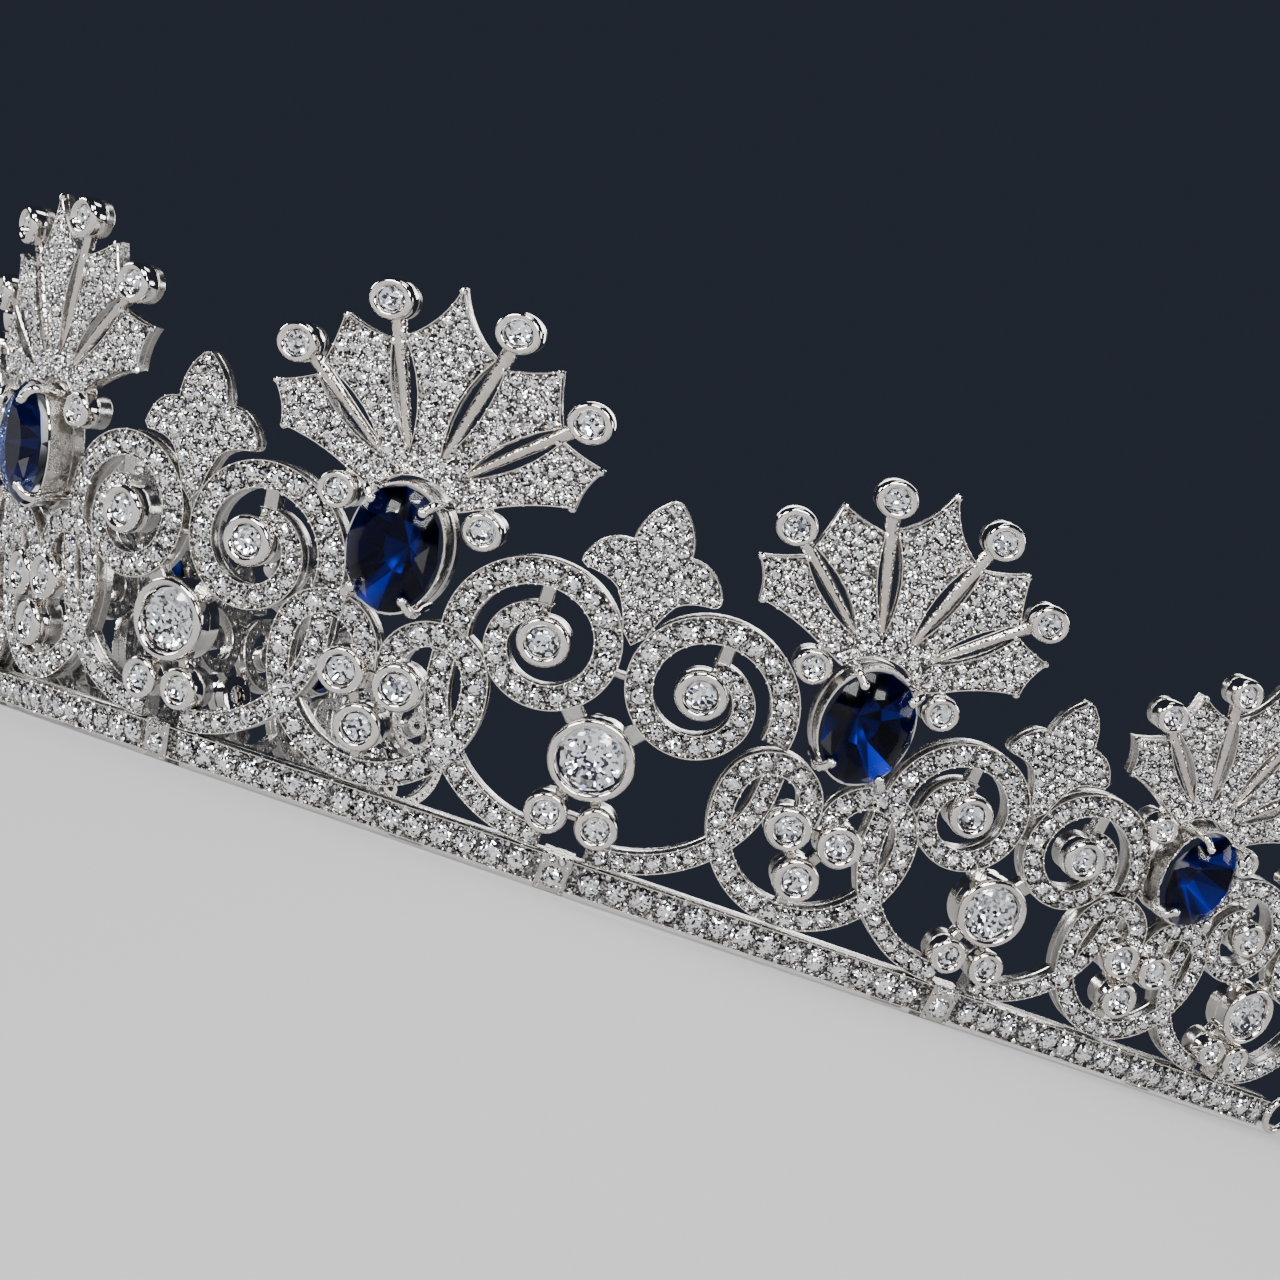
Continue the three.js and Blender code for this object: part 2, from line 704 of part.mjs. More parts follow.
for (const unit of palmettes) {
  const neighbours = nextTo(scrollPairs, unit.at);
  const stoneHeight = RAIL_HEIGHT + STONE_HEIGHT * unit.scale;
  addNode(`palmette_${unit.name}`, bend(geometryOf(palmette(unit))), silver);
  addNode(`interlaced_ring_${unit.name}`, bend(geometryOf(interlacedRing(unit, neighbours))), silver);
  addNode(`claw_setting_${unit.name}`, setOnWall(clawSetting(unit), unit.at, stoneHeight), silver);
  addNode(`sapphire_${unit.name}`, setOnWall(ovalStone(unit), unit.at, stoneHeight), sapphire);
}

for (const pair of scrollPairs) {
  const cutters = nextTo(palmettes, pair.at).flatMap((unit) => [
    ...ringStrips(unit, nextTo(scrollPairs, unit.at), GAP),
    ...shoulderClearances(unit),
  ]);
  const stoneHeight = RAIL_HEIGHT + LARGE_BEZEL[1] * pair.scale;
  addNode(`scroll_pair_${pair.name}`, bend(geometryOf(scrollPair(pair, cutters, pair.isLast))), silver);
  addNode(`round_stone_${pair.name}`, setOnWall(roundStone(pair), pair.at, stoneHeight), clearStone);
}

const seams = scrollPairs.filter((pair) => !pair.isLast);
for (const seam of seams) {
  addNode(`seam_collet_${seam.name}`, seamCollet(seam.at), silver);
}
for (const unit of palmettes) {
  const [before, after] = [-1, 1].map((side) => {
    const seam = seams
      .filter((pair) => side * (pair.at - unit.at) > 0)
      .sort((a, b) => side * (a.at - b.at))[0];
    return seam ? seam.at - side * SEAM_HALF_WIDTH : side * RAIL_END;
  });
  addNode(`band_rail_${unit.name}`, bend(geometryOf(rail(before, after))), silver);
}
addNode("end_loop_left", endLoop(-1), silver);
addNode("end_loop_right", endLoop(1), silver);

// The origin is the middle of the tiara's box, on the surface that it stands on.
const box = new THREE.Box3().setFromObject(wall);
wall.position.set(0, -(box.min.y + box.max.y) / 2, -box.min.z);

const tiara = new THREE.Group();
tiara.add(wall);

export default tiara;
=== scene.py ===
"""The look of the bridal tiara: every CAD node is replaced by a finely detailed piece.

As in the CAD model, a piece is drawn on the unrolled wall, in millimetres: x runs along the rail
from the front, y goes up the wall from the rail's foot and z stands out of its face. bend() and
stand() then carry it to the row frame.
"""

import math

import bpy
import numpy as np
from mathutils import Matrix, Vector
from mathutils.geometry import tessellate_polygon


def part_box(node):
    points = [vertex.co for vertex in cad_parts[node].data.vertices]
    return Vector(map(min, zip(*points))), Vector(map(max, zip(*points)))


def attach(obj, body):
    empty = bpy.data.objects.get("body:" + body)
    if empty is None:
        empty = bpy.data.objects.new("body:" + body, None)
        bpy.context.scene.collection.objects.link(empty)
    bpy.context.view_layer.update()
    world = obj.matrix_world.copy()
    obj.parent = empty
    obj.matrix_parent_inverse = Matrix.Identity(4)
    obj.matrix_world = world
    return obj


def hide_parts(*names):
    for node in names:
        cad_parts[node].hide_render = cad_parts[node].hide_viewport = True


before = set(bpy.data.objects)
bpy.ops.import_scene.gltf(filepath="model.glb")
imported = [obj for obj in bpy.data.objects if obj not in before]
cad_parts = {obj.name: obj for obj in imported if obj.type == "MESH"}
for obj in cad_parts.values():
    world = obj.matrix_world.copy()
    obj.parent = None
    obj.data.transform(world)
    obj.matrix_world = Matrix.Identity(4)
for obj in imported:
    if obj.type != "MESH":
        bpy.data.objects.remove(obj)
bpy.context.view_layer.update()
random = np.random.default_rng(seed=7)

# The driving dimensions of the CAD model.
PLAN_HALF_WIDTH = 72
PLAN_HALF_LENGTH = 100
WALL_LEAN = math.radians(18)
PALMETTES = [(0, 1.07), (38.2, 1), (74.9, 0.93), (107.3, 0.84)]
SCROLL_PAIRS = [(19.5, 1.06), (56.5, 1.01), (91.6, 0.9), (122.2, 0.83)]
RAIL_HEIGHT = 2.7
RAIL_END = 133.5
METAL_DEPTH = 1.8
PLATE_DEPTH = 1.2
BEZEL_RISE = 1.1
RIBBON_WIDTH = 2.1
STRAND_WIDTH = 1.9
SEAM_HALF_WIDTH = 1.3
STAPLE_PLACES = (6, 44, 87.4, 116.4)
LOOP_RADIUS = 1.75
LOOP_WIRE_RADIUS = 0.3
LOOP_ALONG = RAIL_END + 0.3 + LOOP_RADIUS + LOOP_WIRE_RADIUS
LOOP_HEIGHT = RAIL_HEIGHT / 2 + 0.4

RIM = 0.1
RECESS = 0.13
STONE_RISE = 0.22
FIELD_STONE_RADIUS = 0.54
ROW_STONE_SHARE = 0.4
ROW_PITCH_SHARE = 2.04
STRIP_WIDTH = 1.5
TURN = 2 * math.pi


# ---- the wall ----

PLAN_ANGLES = np.linspace(0, 2.6, 5201)
_speed = np.hypot(PLAN_HALF_WIDTH * np.cos(PLAN_ANGLES), PLAN_HALF_LENGTH * np.sin(PLAN_ANGLES))
ARC_LENGTHS = np.concatenate([[0], np.cumsum((_speed[1:] + _speed[:-1]) / 2 * np.diff(PLAN_ANGLES))])


def wall_axes(along):
    """The rail's foot and the wall's three directions at places along the rail."""
    along = np.asarray(along, float)
    angle = np.sign(along) * np.interp(np.abs(along), ARC_LENGTHS, PLAN_ANGLES)
    heading = np.arctan2(PLAN_HALF_LENGTH * np.sin(angle), PLAN_HALF_WIDTH * np.cos(angle))
    flat = np.zeros_like(angle)
    upright = np.stack([flat, flat, flat + 1], -1)
    level = np.stack([np.sin(heading), -np.cos(heading), flat], -1)
    foot = np.stack([PLAN_HALF_WIDTH * np.sin(angle), -PLAN_HALF_LENGTH * np.cos(angle), flat], -1)
    forward = np.stack([np.cos(heading), np.sin(heading), flat], -1)
    up = upright * math.cos(WALL_LEAN) + level * math.sin(WALL_LEAN)
    out = level * math.cos(WALL_LEAN) - upright * math.sin(WALL_LEAN)
    return foot, forward, up, out


def unshifted_stand(points, along, height):
    """Sets points on the wall without bending them, before the wall is moved to its place."""
    foot, forward, up, out = wall_axes(along)
    x, y, z = np.asarray(points, float).T[:, :, None]
    return foot + forward * x + up * (y + height) + out * z


# The CAD model's origin is the middle of its box, which the end loop's middle gives back.
_loop_low, _loop_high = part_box("end_loop_right")
_loop_middle = np.array((_loop_low + _loop_high) / 2) * 1000
WALL_ORIGIN = _loop_middle - unshifted_stand([[0, 0, 0]], LOOP_ALONG, LOOP_HEIGHT)[0]


def bend(points):
    """Carries points from the unrolled wall to the row frame, still in millimetres."""
    points = np.asarray(points, float)
    foot, forward, up, out = wall_axes(points[:, 0])
    return WALL_ORIGIN + foot + up * points[:, 1:2] + out * points[:, 2:3]


def stand(along, height):
    """A placing that sets a stiff piece on the wall without bending it."""
    return lambda points: WALL_ORIGIN + unshifted_stand(points, along, height)


class Unit:
    """A palmette or a scroll pair: its name, its place along the rail and its scale."""

    def __init__(self, name, at, scale, last=False):
        self.name = name
        self.at = at
        self.scale = scale
        self.last = last

    def spot(self, point):
        return self.at + point[0] * self.scale, RAIL_HEIGHT + point[1] * self.scale

    def line(self, points):
        return np.array([self.spot(p) for p in points])


# ---- pieces ----


def new_object(name, data):
    made = bpy.data.objects.new(name, data)
    bpy.context.scene.collection.objects.link(made)
    return made


class Piece:
    """Gathers shapes in the row frame, in millimetres, and turns them into one object."""

    def __init__(self):
        self.points = []
        self.faces = []
        self.materials = []
        self.smooth = []
        self.count = 0

    def add(self, shape, material, smooth=True, place=bend):
        """Adds a shape of one material, or with a list of its faces' materials."""
        points, faces = shape
        self.points.append(place(points))
        start = self.count
        self.faces.extend([tuple(i + start for i in face) for face in faces])
        self.materials.extend([material] * len(faces) if isinstance(material, str) else material)
        self.smooth.extend([smooth] * len(faces))
        self.count += len(points)

    def build(self, node):
        names = sorted(set(self.materials))
        mesh = bpy.data.meshes.new(f"{node}_detail")
        mesh.from_pydata((np.concatenate(self.points) / 1000).tolist(), [], self.faces)
        for name in names:
            mesh.materials.append(MATERIALS[name])
        index = {name: i for i, name in enumerate(names)}
        mesh.polygons.foreach_set("material_index", [index[name] for name in self.materials])
        mesh.polygons.foreach_set("use_smooth", self.smooth)
        mesh.set_sharp_from_angle(angle=math.radians(38))
        piece = new_object(f"{node}_detail", mesh)
        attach(piece, "root")
        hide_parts(node)


def moved(shape, x=0, y=0, z=0):
    points, faces = shape
    return np.asarray(points, float) + (x, y, z), faces


def mirrored(points):
    return [(-x, y) for x, y in points]


# ---- shapes ----


def grid_faces(rows, columns, wrap_rows=False):
    """Faces of a grid whose columns close on themselves, and whose rows may."""
    faces = []
    for i in range(rows if wrap_rows else rows - 1):
        a = i * columns
        b = (i + 1) % rows * columns
        for j in range(columns):
            k = (j + 1) % columns
            faces.append((a + j, a + k, b + k, b + j))
    return faces


def headings(line, closed=False):
    """The direction of a line at each of its points."""
    ahead = np.roll(line, -1, 0) - np.roll(line, 1, 0) if closed else np.gradient(line, axis=0)
    return ahead / np.linalg.norm(ahead, axis=1)[:, None]


def swept(line, section, closed=False, widen=None):
    """A section of (across, out) pairs that follows a line on the wall."""
    line = np.asarray(line, float)
    ahead = headings(line, closed)
    across = np.stack([-ahead[:, 1], ahead[:, 0]], -1)
    section = np.asarray(section, float)
    widths = np.ones(len(line)) if widen is None else widen
    points = np.zeros((len(line), len(section), 3))
    points[..., :2] = line[:, None] + across[:, None] * (section[:, 0] * widths[:, None])[..., None]
    points[..., 2] = section[:, 1]
    faces = grid_faces(len(line), len(section), wrap_rows=closed)
    if not closed:
        start = len(section) * (len(line) - 1)
        faces.append(tuple(reversed(range(len(section)))))
        faces.append(tuple(range(start, start + len(section))))
    return points.reshape(-1, 3), faces


def lathe(profile, sides=28, stretch=(1, 1), open_ends=False):
    """Turns a profile of (radius, out) pairs about the z axis; stretch makes it oval."""
    angles = np.arange(sides) * TURN / sides
    profile = np.asarray(profile, float)
    points = np.zeros((len(profile), sides, 3))
    points[..., 0] = profile[:, :1] * np.cos(angles) * stretch[0]
    points[..., 1] = profile[:, :1] * np.sin(angles) * stretch[1]
    points[..., 2] = profile[:, 1:]
    return points.reshape(-1, 3), grid_faces(len(profile), sides, wrap_rows=not open_ends)


def tube(path, radii, sides=10):
    """A round tube through points in space, with rounded ends."""
    path = np.asarray(path, float)
    radii = np.broadcast_to(radii, len(path))
    ahead = headings(path)
    first, last = ahead[0], ahead[-1]
    cap = np.array([0.0, 0.5, 0.87])
    rings = [(path[0] - first * radii[0] * math.sqrt(1 - c * c), first, radii[0] * c) for c in cap]
    rings += list(zip(path, ahead, radii))
    cap = cap[::-1]
    rings += [(path[-1] + last * radii[-1] * math.sqrt(1 - c * c), last, radii[-1] * c) for c in cap]
    side = np.cross(first, (0.3, 0.2, 0.9))
    points = []
    for centre, along, radius in rings:
        side = side - along * np.dot(side, along)
        side /= np.linalg.norm(side)
        other = np.cross(along, side)
        for j in range(sides):
            angle = TURN * j / sides
            points.append(centre + radius * (math.cos(angle) * side + math.sin(angle) * other))
    return np.array(points), grid_faces(len(rings), sides)


def ball(radius, sides=10, rings=7):
    angles = np.linspace(-math.pi / 2, math.pi / 2, rings)
    profile = [(radius * math.cos(a), radius * math.sin(a)) for a in angles]
    return lathe(profile, sides, open_ends=True)


def flat_polygon(outline, out, facing=1):
    """A filled outline at one height above the wall, in strips so that it follows the wall's bend.

    Facing -1 turns it to the back.
    """
    points = []
    faces = []
    outline = np.asarray(outline, float)
    for triangle in tessellate_polygon([[Vector((x, y, 0)) for x, y in outline]]):
        a, b, c = outline[list(triangle)]
        turn = (b - a)[0] * (c - a)[1] - (b - a)[1] * (c - a)[0]
        corners = [a, b, c] if turn * facing > 0 else [c, b, a]
        across = [corner[0] / STRIP_WIDTH for corner in corners]
        for strip in range(math.floor(min(across)), math.ceil(max(across))):
            part = clipped(corners, strip * STRIP_WIDTH, 1)
            part = clipped(part, (strip + 1) * STRIP_WIDTH, -1)
            if len(part) > 2:
                faces.append(tuple(range(len(points), len(points) + len(part))))
                points.extend([(x, y, out) for x, y in part])
    return points, faces


def clipped(corners, limit, side):
    """The part of a convex outline on one side of an upright line."""
    kept = []
    for a, b in zip(corners, corners[1:] + corners[:1]):
        a_in = side * (a[0] - limit) >= 0
        b_in = side * (b[0] - limit) >= 0
        if a_in:
            kept.append(a)
        if a_in != b_in:
            kept.append(a + (b - a) * (limit - a[0]) / (b[0] - a[0]))
    return kept


def arc(centre, radius, start, end, steps):
    angles = np.linspace(start, end, steps + 1)
    return [(centre[0] + radius * math.cos(a), centre[1] + radius * math.sin(a)) for a in angles]


def curved_outline(start, steps, detail=6):
    """The right half of an outline: each step is an end point, with a curve's control point."""
    points = [start]
    for x, y, *control in steps:
        x0, y0 = points[-1]
        if not control:
            points.append((x, y))
            continue
        for i in range(1, detail + 1):
            t = i / detail
            a, b, c = (1 - t) ** 2, 2 * t * (1 - t), t * t
            points.append((a * x0 + b * control[0] + c * x, a * y0 + b * control[1] + c * y))
    return points


def whole_outline(half):
    """Closes a right half outline that starts and ends on the axis, counter-clockwise."""
    return half + mirrored(half[1:-1])[::-1]


# ---- stones ----

BRILLIANT_SIDES = 8
BRILLIANT_TABLE = 0.56
BRILLIANT_STAR = (0.79, 0.62)


def ring(radius, out, sides, shift=0.0):
    """Evenly spaced points round the z axis; shift is a share of the step between them."""
    angles = (np.arange(sides) + shift) * TURN / sides
    return [(radius * math.cos(a), radius * math.sin(a), out) for a in angles]


def brilliant():
    """The crown of a round stone of unit size: a table, stars, kites and girdle facets."""
    sides = BRILLIANT_SIDES
    points = ring(BRILLIANT_TABLE, 1, sides) + ring(*BRILLIANT_STAR, sides, 0.5)
    points += ring(1, 0, 2 * sides)
    faces = [tuple(range(sides))]
    for i in range(sides):
        n = (i + 1) % sides
        p = (i - 1) % sides
        star = sides + i
        before = sides + p
        girdle = 2 * sides + 2 * i
        after = girdle + 1
        following = 2 * sides + (2 * i + 2) % (2 * sides)
        faces.append((i, star, n))
        faces.append((i, before, girdle, star))
        faces.append((star, girdle, after))
        faces.append((star, after, following))
    return np.array(points), faces


BRILLIANT = brilliant()
# The table and star facets get the brighter painted sparkle, the kites and girdle facets the darker.
BRILLIANT_MATERIALS = ["pave_table"] + ["pave_table", *["pave_edge"] * 3] * BRILLIANT_SIDES
BEAD = ball(1, sides=8, rings=5)
HOLE_SHARE = 0.62
HOLE_SIDES = 8
HOLE_PROFILE = ((1, 0.05), (0.9, -0.04), (0.74, -0.04), (0.68, -0.01))


def drilled_hole():
    """The foot of a hole behind a stone: a low burr round a floor painted dark as the shade in the
    hole, facing the back.
    """
    points = [point for radius, out in HOLE_PROFILE for point in ring(radius, out, HOLE_SIDES)]
    burr = grid_faces(len(HOLE_PROFILE), HOLE_SIDES)
    floor_points = range(len(points) - HOLE_SIDES, len(points))
    return np.array(points), [tuple(reversed(face)) for face in [*burr, floor_points]]


HOLE = drilled_hole()
# The hole's floor takes the recess metal, which is painted dark as shade.
HOLE_MATERIALS = ["cast_metal"] * (len(HOLE[1]) - 1) + ["recess_metal"]


def scattered(template, centres, radii, height, tilt=0.0):
    """Copies of a template of unit size at places on the wall, turned and tilted at random."""
    base, base_faces = template
    points = []
    faces = []
    for n, (centre, radius) in enumerate(zip(centres, radii)):
        turn = random.uniform(0, TURN)
        lean = random.normal(0, 1, 2) * tilt
        c, s = math.cos(turn), math.sin(turn)
        x = base[:, 0] * c - base[:, 1] * s
        y = base[:, 0] * s + base[:, 1] * c
        z = base[:, 2] * height + (x * lean[0] + y * lean[1]) * radius
        points.append(np.stack([centre[0] + x * radius, centre[1] + y * radius, z], -1))
        start = n * len(base)
        faces.extend([tuple(i + start for i in face) for face in base_faces])
    return np.concatenate(points), faces


def thinned(points, gap, latest=0):
    """Drops each point that is too near to one already kept, or to one of the latest kept."""
    kept = []
    for point in points:
        if all(np.hypot(*(point - other)) > gap for other in kept[-latest:]):
            kept.append(point)
    return np.array(kept)


def bead_places(centres, radii, reach):
    """The free spots round each stone, where the setter's beads go."""
    centres = np.asarray(centres)
    spots = []
    for centre, radius in zip(centres, radii):
        start = random.uniform(0, TURN)
        for k in range(6):
            a = start + TURN * k / 6
            spots.append(centre + (radius + reach) * np.array([math.cos(a), math.sin(a)]))
    spots = np.array(spots)
    gaps = np.linalg.norm(spots[:, None] - centres[None], axis=2) - np.asarray(radii)[None]
    return thinned(spots[gaps.min(1) > reach * 0.7], gap=0.2, latest=40)


def add_stones(piece, centres, radii, height, tilt=0.0, out=-RECESS):
    stones = scattered(BRILLIANT, centres, radii, height, tilt)
    piece.add(moved(stones, z=out), BRILLIANT_MATERIALS * len(centres), smooth=False)


def add_beads(piece, centres, radii, height, out):
    beads = scattered(BEAD, centres, radii, height)
    piece.add(moved(beads, z=out), "bead_metal")


def drill_backs(piece, centres, radii, depth):
    """The open backs of the stones' seats."""
    holes = scattered(HOLE, centres, np.asarray(radii) * HOLE_SHARE, height=1)
    piece.add(moved(holes, z=-depth), HOLE_MATERIALS * len(centres), smooth=False)


def set_field(piece, centres, radii):
    """Lays small brilliants, and beads of metal between them, in a recessed face."""
    add_stones(piece, centres, radii, height=STONE_RISE, tilt=0.07)
    spots = bead_places(centres, radii, 0.05)
    add_beads(piece, spots, random.uniform(0.09, 0.13, len(spots)), height=0.13, out=-0.05)


# The beads at each edge of a row: whether they stand between the stones, how far they are from
# the edge, and their size as a share of the row's width.
ROW_BEADS = ((True, 0.3, 0.09), (False, 0.07, 0.05), (True, 0.06, 0.06))


def set_row(piece, line, width):
    """One row of brilliants along a ribbon, held by pairs of beads along both of its edges.

    The width is a function of the share of the ribbon's length.
    """
    centres, across, shares = row_places(line, lambda s: width(s) * ROW_STONE_SHARE * ROW_PITCH_SHARE)
    widths = np.array([width(share) for share in shares])
    radii = widths * ROW_STONE_SHARE * random.uniform(0.97, 1.03, len(widths))
    add_stones(piece, centres, radii, height=STONE_RISE * 1.4, tilt=0.05)
    drill_backs(piece, centres, radii, METAL_DEPTH)
    middles = (centres[1:] + centres[:-1]) / 2
    for side in (-1, 1):
        for between, inset, size in ROW_BEADS:
            offsets = side * across * (widths / 2 - inset)[:, None]
            spots = middles + offsets[1:] if between else centres + offsets
            sizes = widths.mean() * size * random.uniform(0.9, 1.1, len(spots))
            add_beads(piece, spots, sizes, height=0.15, out=-0.02)


def row_places(line, pitch):
    """Places in a row along a line, the direction across it at each, and their shares of its length.

    The pitch between them is a function of the share of the length.
    """
    line = np.asarray(line, float)
    lengths = np.concatenate([[0], np.cumsum(np.linalg.norm(np.diff(line, axis=0), axis=1))])
    total = lengths[-1]
    places = [pitch(0) / 2]
    while places[-1] + pitch(places[-1] / total) < total - pitch(1) * 0.4:
        places.append(places[-1] + pitch(places[-1] / total))
    places = np.array(places) + (total - pitch(1) / 2 - places[-1]) / 2
    centres = np.stack([np.interp(places, lengths, line[:, axis]) for axis in (0, 1)], -1)
    ahead = headings(centres)
    return centres, np.stack([-ahead[:, 1], ahead[:, 0]], -1), places / total


# The rows of a staggered grid are this share of its pitch apart.
ROW_STEP = 0.87


def field_stones(outline, radius, margin=0.1, rounds=60):
    """Stones packed evenly into an outline: a staggered grid, then pushed apart a little."""
    outline = np.asarray(outline, float)
    low, high = outline.min(0), outline.max(0)
    pitch = 2 * radius * 1.05
    grid = []
    for row in range(int((high[1] - low[1]) / (pitch * ROW_STEP)) + 1):
        for column in range(int((high[0] - low[0]) / pitch) + 2):
            grid.append((column + 0.5 * (row % 2), (row + 0.5) * ROW_STEP))
    points = low + np.array(grid) * pitch
    points = points[inside(points, outline) & (edge_gap(points, outline)[0] > radius * 0.55)]
    for _ in range(rounds):
        between = points[:, None] - points[None]
        distance = np.linalg.norm(between, axis=2) + np.eye(len(points)) * 9
        push = np.clip(pitch - distance, 0, None)
        points = points + (between / distance[..., None] * push[..., None]).sum(1) * 0.3
        gap, foot = edge_gap(points, outline)
        short = np.clip(radius + margin - gap, 0, None)
        away = (points - foot) / np.maximum(gap, 1e-6)[:, None]
        away = np.where(inside(points, outline)[:, None], away, -away)
        points = points + away * short[:, None] * 0.7
    gap = edge_gap(points, outline)[0]
    return thinned(points[inside(points, outline) & (gap > radius * 0.75)], gap=radius * 1.7)


def inside(points, outline):
    x, y = points[:, :1], points[:, 1:]
    x0, y0 = outline.T
    x1, y1 = np.roll(outline, -1, 0).T
    crosses = (y0 > y) != (y1 > y)
    slope = (x1 - x0) / np.where(y1 == y0, 1e-9, y1 - y0)
    return (crosses & (x < x0 + (y - y0) * slope)).sum(1) % 2 == 1


def edge_gap(points, outline):
    """The distance from each point to an outline, and the nearest point on it."""
    start = outline[None]
    along = (np.roll(outline, -1, 0) - outline)[None]
    share = ((points[:, None] - start) * along).sum(2) / np.maximum((along**2).sum(2), 1e-9)
    foot = start + along * np.clip(share, 0, 1)[..., None]
    distance = np.linalg.norm(points[:, None] - foot, axis=2)
    nearest = distance.argmin(1)
    rows = np.arange(len(points))
    return distance[rows, nearest], foot[rows, nearest]


GEM_SIDES = 12
GEM_TABLE = 0.6
GEM_STAR = 0.84
GEM_KNEE = (0.42, 0.62)


def gem(half_width, half_height, sides, girdle, table_out, culet):
    """A faceted stone's crown and table, which are clear, and the mirror-bright pavilion inside."""
    middle = (2 * girdle + 3 * table_out) / 5
    crown_points = ring(1, girdle, sides) + ring(GEM_STAR, middle, sides, 0.5)
    crown_points += ring(GEM_TABLE, table_out, sides)
    crown = []
    for i in range(sides):
        n = (i + 1) % sides
        p = (i - 1) % sides
        crown.append((i, n, sides + i))
        crown.append((sides + p, i, sides + i, 2 * sides + i))
        crown.append((sides + i, 2 * sides + n, 2 * sides + i))
    top = [tuple(range(2 * sides, 3 * sides))]
    knee = girdle + (culet - girdle) * GEM_KNEE[1]
    pavilion_points = [(0, 0, culet)] + ring(0.985, girdle, sides)
    pavilion_points += ring(GEM_KNEE[0], knee, sides, 0.5)
    pavilion = []
    for i in range(sides):
        n = (i + 1) % sides
        p = (i - 1) % sides
        pavilion.append((1 + i, 1 + n, 1 + sides + i))
        pavilion.append((1 + i, 1 + sides + i, 1 + sides + p))
        pavilion.append((0, 1 + sides + p, 1 + sides + i))
    stretch = (half_width, half_height, 1)
    crown_points = np.array(crown_points) * stretch
    return (crown_points, crown), (crown_points, top), (np.array(pavilion_points) * stretch, pavilion)


def add_gem(piece, shells, kind, place=bend, centre=(0, 0)):
    for shell, part in zip(shells, ("crown", "table", "pavilion")):
        piece.add(moved(shell, *centre), f"{kind}_{part}", smooth=False, place=place)


# ---- metal parts ----


def channel(width):
    """The section of a pave ribbon: two fine rims, a sunk face and a groove along each side."""
    half = width / 2
    side = [(-half, -0.06), (-half, -0.8), (-half + 0.07, -0.86), (-half + 0.07, -0.94)]
    side += [(-half, -1.0), (-half + 0.02, -METAL_DEPTH + 0.12), (-half + 0.14, -METAL_DEPTH)]
    front = [(-half + RIM, -RECESS), (-half + RIM, -0.02), (-half + RIM - 0.03, 0), (-half + 0.04, 0)]
    right = front + side
    left = [(-a, o) for a, o in reversed(right)]
    return left + right


RIBBON_RIM = ((0.06, -0.1), (0.04, 0.02), (-0.04, 0.02), (-0.06, -0.1))


def pave_ribbon(piece, line, width, taper=lambda share: 1):
    """A pave ribbon along a line; taper is the share of its width at a share of its length."""
    widen = np.array([taper(share) for share in np.linspace(0, 1, len(line))])
    piece.add(swept(line, channel(width), widen=widen), "cast_metal")
    edge = width / 2 - RIM
    low, high = -RECESS - 0.05, -RECESS + 0.01
    bed = [(edge, low), (edge, high), (-edge, high), (-edge, low)]
    # The bed between the stones is painted dark, as the shade between them, with a dark glitter.
    piece.add(swept(line, bed, widen=widen), "recess_metal", smooth=False)
    for side in (-1, 1):
        middle = side * (width / 2 - RIM / 2)
        rim = [(middle + x, out) for x, out in RIBBON_RIM]
        piece.add(swept(line, rim, widen=widen), "rhodium")
    set_row(piece, line, lambda share: width * taper(share))


def pave_plate(piece, outline, stones, radius):
    """A pave plate with a fine rim, given by its outline and its stones' places."""
    # The bed between the stones is painted dark, as the shade between them, with a dark glitter.
    piece.add(flat_polygon(outline, -RECESS), "recess_metal", smooth=False)
    piece.add(flat_polygon(outline, -PLATE_DEPTH, facing=-1), "cast_metal", smooth=False)
    wall = [(0, -RECESS), (0, -0.02), (0.02, -0.55), (-0.05, -0.6), (-0.05, -0.66), (0.02, -0.7)]
    piece.add(swept(outline, wall + [(0, -PLATE_DEPTH)], closed=True), "cast_metal")
    rim = [(0.1, -0.14), (0.08, 0.01), (0.02, 0.02), (-0.01, -0.05)]
    piece.add(swept(outline, rim, closed=True), "rhodium")
    radii = radius * random.uniform(0.93, 1.05, len(stones))
    set_field(piece, stones, radii)
    drill_backs(piece, stones, radii, PLATE_DEPTH)


def rolled_lip(radius, bore, front):
    """The rounded front of a bezel, from its side over to its bore."""
    middle = (radius + bore) / 2
    half = (radius - bore) / 2
    rise = 1.35 * half
    angles = np.linspace(0, math.pi, 9)
    return [(middle + half * math.cos(a), front - rise + rise * math.sin(a)) for a in angles]


def bezel(piece, centre, radius, back=-METAL_DEPTH):
    """A polished cup with a rolled lip, a rougher cast back and its own round stone."""
    bore = 0.59 * radius
    front = BEZEL_RISE
    foot = [
        (radius * 0.9, back),
        (radius * 0.95, back + 0.1),
        (radius * 0.94, -0.55),
        (radius * 0.91, -0.5),
    ]
    side = [(radius * 0.91, -0.42), (radius * 0.97, -0.34), (radius, -0.2)]
    lip = rolled_lip(radius, bore, front)
    seat = [(bore - 0.03, front - 0.6), (bore * 0.75, front - 1.2), (bore * 0.6, back)]
    polished = foot[-1:] + side + lip + seat[:1]
    bore_wall = seat + foot[:1]
    for part, material in ((foot, "cast_metal"), (polished, "rhodium"), (bore_wall, "cast_metal")):
        piece.add(moved(lathe(part, open_ends=True), *centre), material)
    girdle = front - 0.42
    stone = gem(bore, bore, 8, girdle, girdle + 0.3 * bore, girdle - 0.3 * bore)
    add_gem(piece, stone, "clear", centre=centre)


def bar(piece, start, end, width=0.95, front=-0.25, back=-METAL_DEPTH + 0.3):
    """A short soldered bar with rounded edges."""
    half = width / 2
    section = [(half, front - 0.15), (half - 0.12, front), (-half + 0.12, front), (-half, front - 0.15)]
    section += [(-half, back + 0.15), (-half + 0.12, back), (half - 0.12, back), (half, back + 0.15)]
    line = np.linspace(start, end, 4)
    piece.add(swept(line, section), "strut_metal")


